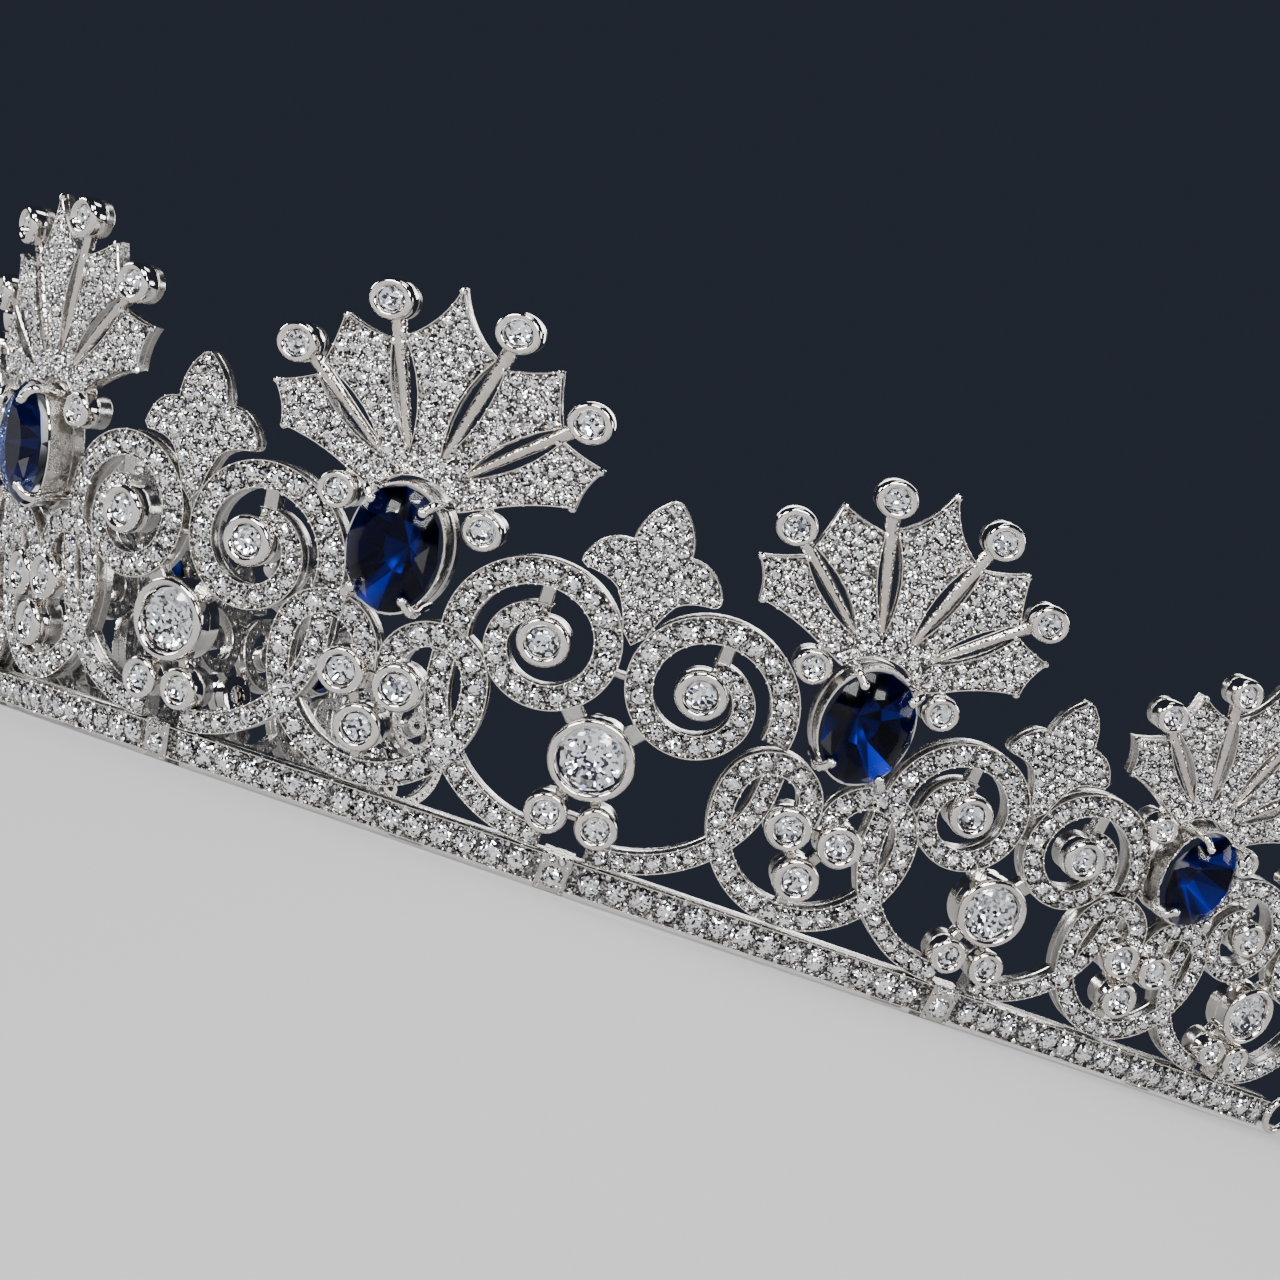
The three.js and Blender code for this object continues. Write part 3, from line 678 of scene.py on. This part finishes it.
def link(piece, start, start_radius, end, end_radius, width=0.95):
    """A bar between two bezels or rings, from inside the one to inside the other."""
    a, b = np.array(start, float), np.array(end, float)
    ahead = (b - a) / np.linalg.norm(b - a)
    bite = 0.4
    bar(piece, a + ahead * (start_radius - bite), b - ahead * (end_radius - bite), width)


# ---- the palmette ----

FAN_HALF = curved_outline(
    (0, 26.1),
    [
        (3.4, 24.2, 2, 26.1),
        (5.7, 25.3),
        (11.5, 27.3, 8.4, 26.8),
        (12.7, 30.8, 11.5, 29.2),
        (9.23, 32, 11, 31.1),
        (3.2, 26.9, 7.1, 28.4),
        (8.97, 33, 4.4, 30.6),
        (8, 37.3, 8.3, 35),
        (4.15, 36.14, 6.1, 36.3),
        (1.2, 27.8, 3.8, 31.4),
        (3.38, 36.6, 0.8, 32.8),
        (0, 41.4, 0.9, 38.2),
    ],
)
FAN = whole_outline(FAN_HALF)
FAN_STONES = field_stones(FAN, FIELD_STONE_RADIUS)
FAN_TIPS = ((11.5, 27.3), (12.7, 30.8), (8, 37.3), (0, 41.4), (4.15, 36.14), (9.23, 32))
RODS = (((1.45, 28.2), (4.56, 39.17)), ((3.4, 27.3), (10.89, 34.13)))
ROD_BEZEL_RADIUS = 1.65
SHOULDER = (5.65, 23.45)
SHOULDER_RADIUS = 1.55
STONE_HEIGHT = 20.3
STONE_HALF_WIDTH = 4
STONE_HALF_HEIGHT = 5.2
GIRDLE_OUT = 2.2
TABLE_OUT = 3.4
CULET_OUT = -1.5
CLAW_ANGLE = math.radians(50)
FAN_FOOT = 26
TIP_INSET = 0.02
SHOULDER_BAR_FOOT = (5.1, 25.9)


def rod(piece, foot, tip):
    """A polished rod that swells towards its bezel, slightly uneven as cast."""
    shares = np.linspace(0, 0.92, 14)
    start = np.array([*foot, -0.35])
    end = np.array([*tip, -0.35])
    path = start + (end - start) * shares[:, None]
    radii = 0.3 + 0.32 * shares
    piece.add(tube(path, radii, sides=10), "rod_metal")


def palmette(unit):
    piece = Piece()
    scale = unit.scale
    pave_plate(piece, unit.line(FAN), unit.line(FAN_STONES), FIELD_STONE_RADIUS * scale)
    for side in (-1, 1):
        flip = np.array((side, 1))
        tips = [(side * x * (1 - TIP_INSET), y - TIP_INSET * (y - FAN_FOOT)) for x, y in FAN_TIPS]
        tips = unit.line(tips)
        add_beads(piece, tips, [0.33 * scale] * len(tips), height=0.3, out=-0.12)
        for foot, tip in RODS:
            tip = unit.spot(tip * flip)
            rod(piece, unit.spot(foot * flip), tip)
            bezel(piece, tip, ROD_BEZEL_RADIUS * scale, back=-PLATE_DEPTH)
        shoulder = unit.spot(SHOULDER * flip)
        bezel(piece, shoulder, SHOULDER_RADIUS * scale)
        bar(piece, unit.spot(SHOULDER_BAR_FOOT * flip), shoulder, back=-PLATE_DEPTH + 0.1)
    piece.build(f"palmette_{unit.name}")


def sapphire(unit):
    piece = Piece()
    place = stand(unit.at, RAIL_HEIGHT + STONE_HEIGHT * unit.scale)
    half = (STONE_HALF_WIDTH * unit.scale, STONE_HALF_HEIGHT * unit.scale)
    stone = gem(*half, GEM_SIDES, GIRDLE_OUT, TABLE_OUT, CULET_OUT)
    add_gem(piece, stone, "sapphire", place=place)
    piece.build(f"sapphire_{unit.name}")


def claw_setting(unit):
    piece = Piece()
    scale = unit.scale
    place = stand(unit.at, RAIL_HEIGHT + STONE_HEIGHT * scale)
    half = ((STONE_HALF_WIDTH + 0.25) * scale, (STONE_HALF_HEIGHT + 0.25) * scale)
    bore = 0.9
    foot = (0.95, -METAL_DEPTH)
    top = (0.98, 1.4)
    lip = (bore, 1.2)
    wall = [foot, (1, -METAL_DEPTH + 0.15), (1, -0.7), (0.965, -0.6), (0.95, 0.1), (0.985, 0.2), top]
    edge = [top, (0.995, 1.5), (0.985, 1.62), (0.955, 1.64), (0.94, 1.5), lip]
    inside_wall = [lip, (bore, -METAL_DEPTH), foot]
    # The bore inside the gallery takes a metal painted dark, as the shade behind the stone.
    for part, material in ((wall, "cast_metal"), (edge, "rhodium"), (inside_wall, "bore_metal")):
        piece.add(lathe(part, 64, stretch=half, open_ends=True), material, place=place)
    for angle in (CLAW_ANGLE, math.pi - CLAW_ANGLE, -CLAW_ANGLE, CLAW_ANGLE - math.pi):
        claw(piece, angle, scale, place)
    piece.build(f"claw_setting_{unit.name}")


def claw(piece, angle, scale, place):
    """A claw that rises outside the gallery, bends over the girdle and ends in a ball."""

    def point(margin, out):
        return (
            (STONE_HALF_WIDTH + margin) * math.cos(angle) * scale,
            (STONE_HALF_HEIGHT + margin) * math.sin(angle) * scale,
            out,
        )

    knots = ((0.2, -1.2), (0.35, 0.8), (0.62, 2.1), (0.4, 2.95), (-0.5, 3.35))
    path = smooth_path([point(*knot) for knot in knots], 4)
    radii = np.interp(np.linspace(0, 1, len(path)), [0, 0.6, 1], [0.5, 0.42, 0.36]) * scale
    piece.add(tube(path, radii, sides=12), "rhodium", place=place)
    piece.add(moved(ball(0.46 * scale), *path[-1]), "rhodium", place=place)


def smooth_path(knots, detail):
    """A smooth curve through knots, by Catmull and Rom's rule."""
    knots = [np.array(k, float) for k in knots]
    padded = [2 * knots[0] - knots[1], *knots, 2 * knots[-1] - knots[-2]]
    path = []
    for a, b, c, d in zip(padded, padded[1:], padded[2:], padded[3:]):
        for t in np.arange(detail) / detail:
            curve = (2 * a - 5 * b + 4 * c - d) * t**2 + (3 * b - a - 3 * c + d) * t**3
            path.append(b + ((c - a) * t + curve) / 2)
    return np.array([*path, knots[-1]])


# ---- the interlaced ring ----

RING_HEIGHT = 9.6
RING_RADIUS = 8.2
ARCH_RADIUS = 3.5
ARCH_JOIN = math.radians(15)
ARCH_END = math.radians(192)
TREFOIL_RADIUS = 2.05
TREFOIL = ((-2.35, 9.3), (2.35, 9.3), (0, 5.2))
STRAND_START = 1.9
STRAND_CENTRE = 2.4
STRAND_FOOT = 1.05
STRAND_SHOULDER = 11.8
STRAND_TOP = (5.1, 13.1)


def ring_line():
    """The ribbon's middle line: one small arch, round the large ring, and the other arch."""
    reach = RING_RADIUS - ARCH_RADIUS
    centre = (reach * math.cos(ARCH_JOIN), RING_HEIGHT + reach * math.sin(ARCH_JOIN))
    right = arc(centre, ARCH_RADIUS, ARCH_JOIN, ARCH_END, 26)
    circle = arc((0, RING_HEIGHT), RING_RADIUS, -math.pi - ARCH_JOIN, ARCH_JOIN, 60)
    return mirrored(right)[::-1] + circle[1:-1] + right


def strand_line(unit, foot_x, top_x, top_height):
    """A quarter of an ellipse from the rail up to a unit, which ends in a short upright top."""
    reach = top_x - foot_x
    start = math.asin((STRAND_START - STRAND_CENTRE) / abs(reach))
    shoulder = RAIL_HEIGHT + STRAND_SHOULDER * unit.scale
    rise = (STRAND_SHOULDER - STRAND_FOOT) * unit.scale
    angles = np.linspace(start, math.pi / 2, 28)
    points = [(foot_x + reach * math.sin(a), shoulder - rise * math.cos(a)) for a in angles]
    return points + [(top_x, RAIL_HEIGHT + top_height * unit.scale)]


def interlaced_ring(unit, neighbours):
    piece = Piece()
    scale = unit.scale
    for pair in neighbours:
        side = math.copysign(1, pair.at - unit.at)
        foot_x = pair.at - side * STRAND_CENTRE * pair.scale
        top_x = unit.at + side * STRAND_TOP[0] * scale
        line = strand_line(unit, foot_x, top_x, STRAND_TOP[1])
        pave_ribbon(piece, line, STRAND_WIDTH * scale)
    pave_ribbon(piece, unit.line(ring_line()), RIBBON_WIDTH * scale)
    radius = TREFOIL_RADIUS * scale
    left, right, lower = (unit.spot(centre) for centre in TREFOIL)
    for centre in (left, right, lower):
        bezel(piece, centre, radius)
    for a, b in ((left, right), (left, lower), (right, lower)):
        link(piece, a, radius, b, radius)
    bar(piece, unit.spot((0, RING_HEIGHT - RING_RADIUS)), lower)
    piece.build(f"interlaced_ring_{unit.name}")


# ---- the scroll pair ----

SCROLL_CENTRE = (-6.3, 16)
SCROLL_START_RADIUS = 6.6
SCROLL_END_RADIUS = 2.5
SCROLL_START = math.radians(194)
SCROLL_SWEEP = math.radians(462)
SCROLL_TIP_SHARE = 0.62
SCROLL_BEZEL = (-6.1, 16.4)
SCROLL_BEZEL_RADIUS = 2.05
LARGE_BEZEL = (0, 8.6)
LARGE_BEZEL_RADIUS = 3.4
SMALL_BEZEL = (-2.06, 3.38)
SMALL_BEZEL_RADIUS = 1.75
# The ends, and then the width, of the short bar above each scroll.
SCROLL_BAR = ((-6.9, 18.6), (-6.9, 21.4), 1.1)
# The strut from the large bezel to each scroll: its reach from the scroll's centre, and its width.
SCROLL_STRUT = (5.4, 1.6)
# The level bars behind the leaf, between the scrolls and between the small bezels: half their
# length, their height, width and front.
LEVEL_BARS = ((1.6, 19.4, 0.9, -0.4), (0.9, 15.6, 0.5, -0.25), (0.8, 3.38, 0.45, -0.25))
LEAF_HALF = curved_outline(
    (0, 18.2),
    [
        (0.95, 19.2),
        (2.2, 22.2, 1.35, 20.9),
        (4.8, 23.1, 3, 23),
        (5.1, 24.2, 5.5, 23.4),
        (2.2, 26.2, 4.2, 26.3),
        (0.6, 29.7, 2.1, 28.3),
        (0, 30, 0.3, 30.05),
    ],
)
LEAF = whole_outline(LEAF_HALF)
LEAF_STONES = field_stones(LEAF, FIELD_STONE_RADIUS)


def scroll_line():
    """The middle line of the left scroll, from its outer end to its tip."""
    x, y = SCROLL_CENTRE
    points = []
    for share in np.linspace(0, 1, 96):
        angle = SCROLL_START - SCROLL_SWEEP * share
        radius = SCROLL_START_RADIUS + (SCROLL_END_RADIUS - SCROLL_START_RADIUS) * share
        points.append((x + radius * math.cos(angle), y + radius * math.sin(angle)))
    return points


def scroll_taper(share):
    return 1 + (SCROLL_TIP_SHARE - 1) * share**3


def scroll_pair(unit):
    piece = Piece()
    scale = unit.scale
    pave_plate(piece, unit.line(LEAF), unit.line(LEAF_STONES), FIELD_STONE_RADIUS * scale)
    large = unit.spot(LARGE_BEZEL)
    for side in (1, -1):
        flip = np.array((side, 1))
        line = unit.line(np.array(scroll_line()) * flip)
        pave_ribbon(piece, line, (RIBBON_WIDTH + 0.1) * scale, taper=scroll_taper)
        bezel(piece, unit.spot(SCROLL_BEZEL * flip), SCROLL_BEZEL_RADIUS * scale)
        low, high, width = SCROLL_BAR
        bar(piece, unit.spot(low * flip), unit.spot(high * flip), width * scale)
        centre = unit.spot(SCROLL_CENTRE * flip)
        reach, width = SCROLL_STRUT
        link(piece, large, LARGE_BEZEL_RADIUS * scale, centre, reach * scale, width * scale)
        small = unit.spot(SMALL_BEZEL * flip)
        bezel(piece, small, SMALL_BEZEL_RADIUS * scale)
        link(piece, large, LARGE_BEZEL_RADIUS * scale, small, SMALL_BEZEL_RADIUS * scale)
    for half, height, width, front in LEVEL_BARS:
        bar(piece, unit.spot((-half, height)), unit.spot((half, height)), width, front)
    large_cup(piece, unit)
    if unit.last:
        end_strand(piece, unit)
    piece.build(f"scroll_pair_{unit.name}")


def large_cup(piece, unit):
    """The large bezel, whose stone is a piece of its own."""
    radius = LARGE_BEZEL_RADIUS * unit.scale
    profile = [
        (radius * 0.92, -METAL_DEPTH),
        (radius * 0.97, -METAL_DEPTH + 0.12),
        (radius * 0.96, -0.55),
        (radius * 0.935, -0.48),
        (radius * 0.935, -0.4),
        (radius, -0.3),
        *rolled_lip(radius, radius * 0.78, BEZEL_RISE),
        (radius * 0.77, BEZEL_RISE - 0.8),
        (radius * 0.5, -METAL_DEPTH),
    ]
    cup = moved(lathe(profile, 48), *unit.spot(LARGE_BEZEL))
    piece.add(cup, "rhodium")


def round_stone(unit):
    piece = Piece()
    radius = LARGE_BEZEL_RADIUS * 0.775 * unit.scale
    place = stand(unit.at, RAIL_HEIGHT + LARGE_BEZEL[1] * unit.scale)
    stone = gem(radius, radius, GEM_SIDES, girdle=0.42, table_out=0.95, culet=-0.35)
    add_gem(piece, stone, "clear", place=place)
    piece.build(f"round_stone_{unit.name}")


def end_strand(piece, unit):
    """The strand that closes the wall beyond the last scroll."""
    side = math.copysign(1, unit.at)
    x, y = scroll_line()[0]
    foot_x = unit.at + side * STRAND_CENTRE * unit.scale
    top_x = unit.at - side * x * unit.scale
    line = strand_line(unit, foot_x, top_x, y + 0.6)
    pave_ribbon(piece, line, STRAND_WIDTH * unit.scale)


# ---- the rail ----


def rail(name, start, end):
    piece = Piece()
    line = [(x, RAIL_HEIGHT / 2) for x in np.linspace(start, end, int(end - start) + 1)]
    pave_ribbon(piece, line, RAIL_HEIGHT)
    for place in STAPLE_PLACES:
        for side in (-1, 1):
            if start < side * place < end:
                staple(piece, side * place)
    piece.build(f"band_rail_{name}")


def staple(piece, along):
    """A wire staple whose two legs go up into the back of the rail."""
    low = -0.28
    high = 0.4
    out = -1.05
    half = 1.45
    knots = [(-half, high, out), (-half, low, out), (half, low, out), (half, high, out)]
    runs = [np.linspace(a, b, 6)[:-1] for a, b in zip(knots, knots[1:])]
    path = np.concatenate([*runs, knots[-1:]]) + (along, 0, 0)
    piece.add(tube(path, 0.2, sides=8), "rhodium")


def seam_collet(name, along):
    """The little block over a seam, with two small stones above a larger one."""
    piece = Piece()
    half = SEAM_HALF_WIDTH
    rise = 0.15
    slope = math.tan(WALL_LEAN)
    foot = -0.35 / math.cos(WALL_LEAN)
    top = RAIL_HEIGHT + 0.2

    def corners(out, inset):
        low = foot + out * slope + inset
        return [
            (along - half + inset, low, out),
            (along + half - inset, low, out),
            (along + half - inset, top - inset, out),
            (along - half + inset, top - inset, out),
        ]

    points = corners(-METAL_DEPTH, 0) + corners(rise - 0.1, 0) + corners(rise, 0.1)
    faces = grid_faces(3, 4) + [(3, 2, 1, 0), (8, 9, 10, 11)]
    piece.add((points, faces), "strut_metal", smooth=False)
    stones = [(along - 0.45, 2.45), (along + 0.45, 2.45), (along, 0.98)]
    add_stones(piece, stones, [0.4, 0.4, 0.98], height=0.3, out=rise - 0.04)
    spots = [(along + x, y) for x in (-1, 1) for y in (-0.05, 1.95, 2.75)]
    add_beads(piece, spots, [0.2] * len(spots), height=0.22, out=rise)
    piece.build(f"seam_collet_{name}")


def end_loop(name, side):
    piece = Piece()
    wire = arc((LOOP_RADIUS, 0), LOOP_WIRE_RADIUS, 0, TURN, 14)[:-1]
    place = stand(side * LOOP_ALONG, LOOP_HEIGHT)
    piece.add(lathe(wire, 48), "rhodium", place=place)
    joint = moved(ball(0.42, sides=14, rings=9), x=-side * (LOOP_RADIUS + 0.25), y=-0.2)
    piece.add(joint, "rhodium", place=place)
    piece.build(f"end_loop_{name}")


# ---- materials ----


class Shader:
    """A material whose nodes are added one at a time."""

    def __init__(self, name):
        self.material = bpy.data.materials.new(name)
        self.material.use_nodes = True
        self.nodes = self.material.node_tree.nodes
        self.surface = self.nodes["Principled BSDF"]

    def node(self, kind, inputs=None, **settings):
        """A new node; each of its inputs is given a constant or another node's output."""
        made = self.nodes.new(kind)
        for key, value in settings.items():
            setattr(made, key, value)
        self.feed(made, inputs or {})
        return made

    def feed(self, node, inputs):
        for key, value in inputs.items():
            if isinstance(value, bpy.types.NodeSocket):
                self.material.node_tree.links.new(value, node.inputs[key])
            else:
                node.inputs[key].default_value = value

    def maths(self, operation, first, second):
        return self.node("ShaderNodeMath", {0: first, 1: second}, operation=operation).outputs["Value"]

    def vector_maths(self, operation, inputs):
        return self.node("ShaderNodeVectorMath", inputs, operation=operation).outputs["Vector"]

    def noise(self, scale, detail=3.0):
        place = self.node("ShaderNodeTexCoord").outputs["Object"]
        inputs = {"Vector": place, "Scale": scale, "Detail": detail}
        return self.node("ShaderNodeTexNoise", inputs).outputs["Fac"]

    def ramp(self, source, stops):
        ramp = self.node("ShaderNodeValToRGB", {"Fac": source})
        elements = ramp.color_ramp.elements
        while len(elements) < len(stops):
            elements.new(0.5)
        for element, (position, colour) in zip(elements, stops):
            element.position = position
            element.color = (*colour, 1)
        return ramp.outputs["Color"]

    def facet_noise(self):
        """Random numbers for each flat facet, seeded by the direction that it faces."""
        facing = self.node("ShaderNodeNewGeometry").outputs["True Normal"]
        steps = self.vector_maths("SNAP", {0: facing, 1: (0.03, 0.03, 0.03)})
        white = self.node("ShaderNodeTexWhiteNoise", {"Vector": steps}, noise_dimensions="3D")
        return white.outputs["Value"], white.outputs["Color"]

    def cell_noise(self, scale):
        """Random numbers for each small cell, as the broken-up light inside a cut stone."""
        place = self.node("ShaderNodeTexCoord").outputs["Object"]
        cells = self.node("ShaderNodeTexVoronoi", {"Vector": place, "Scale": scale}).outputs["Color"]
        split = self.node("ShaderNodeSeparateColor", {"Color": cells})
        return split.outputs["Red"], cells

    def turned_normal(self, noise, amount):
        """The surface's normal, turned at random by up to an amount."""
        normal = self.node("ShaderNodeNewGeometry").outputs["Normal"]
        centred = self.vector_maths("SUBTRACT", {0: noise, 1: (0.5, 0.5, 0.5)})
        scaled = self.vector_maths("SCALE", {0: centred, "Scale": amount})
        added = self.vector_maths("ADD", {0: normal, 1: scaled})
        return self.vector_maths("NORMALIZE", {0: added})


def grey(value):
    return (value, value, value)


def plated_metal(name, colour, roughness, bump_scale, bump_depth, bump_strength):
    """Bright plate whose polish and surface vary a little."""
    shader = Shader(name)
    duller = tuple(part * 0.88 for part in colour)
    tone = shader.ramp(shader.noise(900), [(0.3, duller), (0.7, colour)])
    low, high = roughness
    polish = shader.ramp(shader.noise(1400), [(0.3, grey(low)), (0.75, grey(high))])
    relief = shader.noise(bump_scale, detail=2)
    bumps = {"Strength": bump_strength, "Distance": bump_depth, "Height": relief}
    normal = shader.node("ShaderNodeBump", bumps).outputs["Normal"]
    inputs = {"Metallic": 1, "Base Color": tone, "Roughness": polish, "Normal": normal}
    shader.feed(shader.surface, inputs)
    return shader.material


def cut_stone(name, stops, roughness, turn, cells=None):
    """A cut stone's painted sparkle: small mirrors, each with its own painted brightness and direction.

    The mirrors are the stone's own facets, or smaller cells of the given scale.
    """
    shader = Shader(name)
    value, colour = shader.cell_noise(cells) if cells else shader.facet_noise()
    # Painted sparkle: the stops tint each mirror bright or dark at random, in place of the light inside
    # a stone.
    tone = shader.ramp(value, stops)
    normal = shader.turned_normal(colour, turn)
    inputs = {"Metallic": 1, "Base Color": tone, "Roughness": roughness, "Normal": normal}
    shader.feed(shader.surface, inputs)
    return shader.material


def clear_cover(name, tint, index, glints):
    """A clear polished crown: its outside mirrors by Fresnel's rule, some facets more than others."""
    shader = Shader(name)
    shader.nodes.remove(shader.surface)
    through = shader.node("ShaderNodeBsdfTransparent", {"Color": (*tint, 1)}).outputs["BSDF"]
    mirror = shader.node("ShaderNodeBsdfGlossy", {"Roughness": 0.1}).outputs["BSDF"]
    fresnel = shader.node("ShaderNodeFresnel", {"IOR": index}).outputs["Fac"]
    brighter = shader.maths("MAXIMUM", fresnel, shader.ramp(shader.facet_noise()[0], glints))
    inside_face = shader.node("ShaderNodeNewGeometry").outputs["Backfacing"]
    share = shader.maths("MULTIPLY", brighter, shader.maths("SUBTRACT", 1, inside_face))
    mix = shader.node("ShaderNodeMixShader", {"Fac": share, 1: through, 2: mirror})
    shader.feed(shader.nodes["Material Output"], {"Surface": mix.outputs["Shader"]})
    return shader.material


def floor_material():
    shader = Shader("floor_paper")
    tone = shader.ramp(shader.noise(6), [(0.3, grey(0.52)), (0.7, grey(0.55))])
    shader.feed(shader.surface, {"Base Color": tone, "Roughness": 0.75})
    return shader.material


# Each metal's colour, its lowest and highest roughness, and its bumps' scale, depth and strength.
METALS = {
    "rhodium": ((0.8, 0.76, 0.72), (0.04, 0.12), 700, 0.0001, 0.6),
    "cast_metal": ((0.45, 0.43, 0.41), (0.18, 0.34), 2600, 0.00006, 0.6),
    # The bore metal is painted dark as the shade inside a setting's bore.
    "bore_metal": ((0.25, 0.25, 0.27), (0.12, 0.2), 500, 0.00004, 0.3),
    "strut_metal": ((0.55, 0.53, 0.5), (0.12, 0.28), 2200, 0.00012, 0.9),
    "rod_metal": ((0.66, 0.61, 0.57), (0.06, 0.2), 1800, 0.00014, 0.9),
    "bead_metal": ((0.88, 0.86, 0.83), (0.06, 0.16), 3000, 0.00003, 0.3),
}
# Each cut stone's colours from dark to bright, its roughness, turn and cells. These colours are painted
# light: each facet or cell is tinted bright or dark at random for the light bounced inside the stone.
# The bed under the stones glitters in the same way, and is painted dark as the shade between them.
RECESS_SHADE_AND_SPARKLE = [(0.0, (0.02, 0.02, 0.02)), (0.5, (0.11, 0.1, 0.1)), (0.85, (0.5, 0.48, 0.45))]
TABLE_PAINTED_SPARKLE = [(0.0, (0.14, 0.14, 0.16)), (0.15, (0.6, 0.61, 0.64)), (0.35, grey(1)), (0.8, grey(1))]
EDGE_PAINTED_SPARKLE = [(0.0, (0.03, 0.03, 0.04)), (0.35, (0.19, 0.18, 0.19)), (0.7, grey(0.75)), (0.92, grey(1))]
# Painted sparkle of the clear stones' pavilions: random cells are tinted bright or dark.
CLEAR_PAINTED_SPARKLE = [(0, (0.05, 0.06, 0.12)), (0.15, (0.45, 0.46, 0.52)), (0.4, grey(0.97)), (0.75, grey(1))]
# The sapphire pavilion's own deep blue, with painted sparkle: random facets are tinted brighter blue
# for the light inside the stone.
SAPPHIRE_BLUE_AND_SPARKLE = [
    (0.0, (0.001, 0.0012, 0.007)),
    (0.55, (0.002, 0.004, 0.026)),
    (0.85, (0.005, 0.013, 0.09)),
    (1.0, (0.014, 0.045, 0.3)),
]
CUT_STONES = {
    # The recess metal is painted dark as the shade between and behind the stones, and glitters darkly.
    "recess_metal": (RECESS_SHADE_AND_SPARKLE, 0.22, 1.2, 6500),
    "pave_table": (TABLE_PAINTED_SPARKLE, 0.06, 1.2, 5200),
    "pave_edge": (EDGE_PAINTED_SPARKLE, 0.06, 1.2, 5200),
    "clear_pavilion": (CLEAR_PAINTED_SPARKLE, 0.06, 1.0, 3400),
    "sapphire_pavilion": (SAPPHIRE_BLUE_AND_SPARKLE, 0.32, 0.35),
}
# Each clear cover's tint, its index of refraction and the glints of its facets.
CLEAR_COVERS = {
    "clear_crown": ((0.97, 0.98, 1.0), 1.45, [(0.5, grey(0)), (0.9, grey(0.5))]),
    "clear_table": ((0.97, 0.98, 1.0), 1.35, [(0, grey(0)), (1, grey(0.02))]),
    "sapphire_crown": ((0.35, 0.45, 0.8), 1.28, [(0.88, grey(0)), (0.95, grey(0.16))]),
    "sapphire_table": ((0.3, 0.4, 0.8), 1.2, [(0, grey(0)), (1, grey(0.01))]),
}
MATERIALS = {}
for make, looks in ((plated_metal, METALS), (cut_stone, CUT_STONES), (clear_cover, CLEAR_COVERS)):
    MATERIALS.update({name: make(name, *look) for name, look in looks.items()})


# ---- assembly ----


def units(places, first, last_index=None):
    made = []
    for index, (at, scale) in enumerate(places):
        for side in (-1, 1) if at else (0,):
            name = f"{'left' if side < 0 else 'right'}_{index + first}" if at else "centre"
            made.append(Unit(name, side * at, scale, last=index == last_index))
    return sorted(made, key=lambda unit: unit.at)


palmettes = units(PALMETTES, first=0)
scroll_pairs = units(SCROLL_PAIRS, first=1, last_index=len(SCROLL_PAIRS) - 1)

for index, unit in enumerate(palmettes):
    palmette(unit)
    sapphire(unit)
    claw_setting(unit)
    interlaced_ring(unit, scroll_pairs[index : index + 2])
    start = scroll_pairs[index].at + SEAM_HALF_WIDTH if index else -RAIL_END
    end = scroll_pairs[index + 1].at - SEAM_HALF_WIDTH if index < len(palmettes) - 1 else RAIL_END
    rail(unit.name, start, end)
for unit in scroll_pairs:
    scroll_pair(unit)
    round_stone(unit)
    if not unit.last:
        seam_collet(unit.name, unit.at)
end_loop("left", -1)
end_loop("right", 1)


# ---- stage ----


def floor():
    half = 3
    mesh = bpy.data.meshes.new("floor")
    corners = [(-half, -half, 0), (half, -half, 0), (half, half, 0), (-half, half, 0)]
    mesh.from_pydata(corners, [], [(0, 1, 2, 3)])
    mesh.materials.append(floor_material())
    stage = new_object("floor", mesh)


LAMP_TARGET = (0, 0, 0.02)


def lamp(name, position, size, power):
    light = bpy.data.lights.new(name, "AREA")
    light.shape = "RECTANGLE"
    light.size, light.size_y = size
    light.energy = power
    made = new_object(name, light)
    made.location = position
    made.visible_camera = False
    aim = Vector(LAMP_TARGET) - Vector(position)
    made.rotation_euler = aim.to_track_quat("-Z", "Y").to_euler()


def studio():
    world = bpy.data.worlds.new("studio")
    bpy.context.scene.world = world
    world.use_nodes = True
    background = world.node_tree.nodes["Background"]
    background.inputs["Color"].default_value = (0.05, 0.06, 0.09, 1)
    background.inputs["Strength"].default_value = 0.4
    lamp("key", (0.35, -0.4, 0.5), (0.2, 0.2), 2.5)
    lamp("front_right", (0.72, -0.3, 0.3), (0.3, 0.22), 5.2)
    lamp("front", (0.15, -0.76, 0.3), (0.3, 0.22), 5.2)
    lamp("front_left", (-0.6, -0.5, 0.3), (0.28, 0.2), 3.2)
    lamp("back_right", (0.6, 0.55, 0.3), (0.4, 0.3), 2.5)
    lamp("back_left", (-0.6, 0.55, 0.4), (0.3, 0.3), 1.5)
    lamp("back", (-0.25, 0.5, 0.45), (0.25, 0.2), 0.9)
    lamp("top", (0, 0, 0.6), (0.2, 0.2), 0.6)


# The camera's turn, rise and roll are in degrees.
CAMERA_ANGLES = (50.79, 7.42, 18.71)
CAMERA_PLACE = (172.4, -174.85, 0.77)
CAMERA_LENS = 54.93375


def camera():
    """The photograph's view: from the viewer's right, from just above the floor, and rolled."""
    turn, rise, roll = (math.radians(angle) for angle in CAMERA_ANGLES)
    ahead = Vector((-math.sin(turn) * math.cos(rise), math.cos(turn) * math.cos(rise), math.sin(rise)))
    level = ahead.cross(Vector((0, 0, 1))).normalized()
    above = level.cross(ahead)
    right = level * math.cos(roll) + above * math.sin(roll)
    up = above * math.cos(roll) - level * math.sin(roll)
    data = bpy.data.cameras.new("camera")
    data.sensor_width = 36
    data.lens = CAMERA_LENS
    data.clip_start = 0.0005
    made = new_object("camera", data)
    eye = Vector(WALL_ORIGIN + CAMERA_PLACE) / 1000
    made.matrix_world = Matrix.Translation(eye) @ Matrix((right, up, -ahead)).transposed().to_4x4()
    bpy.context.scene.camera = made


floor()
studio()
camera()
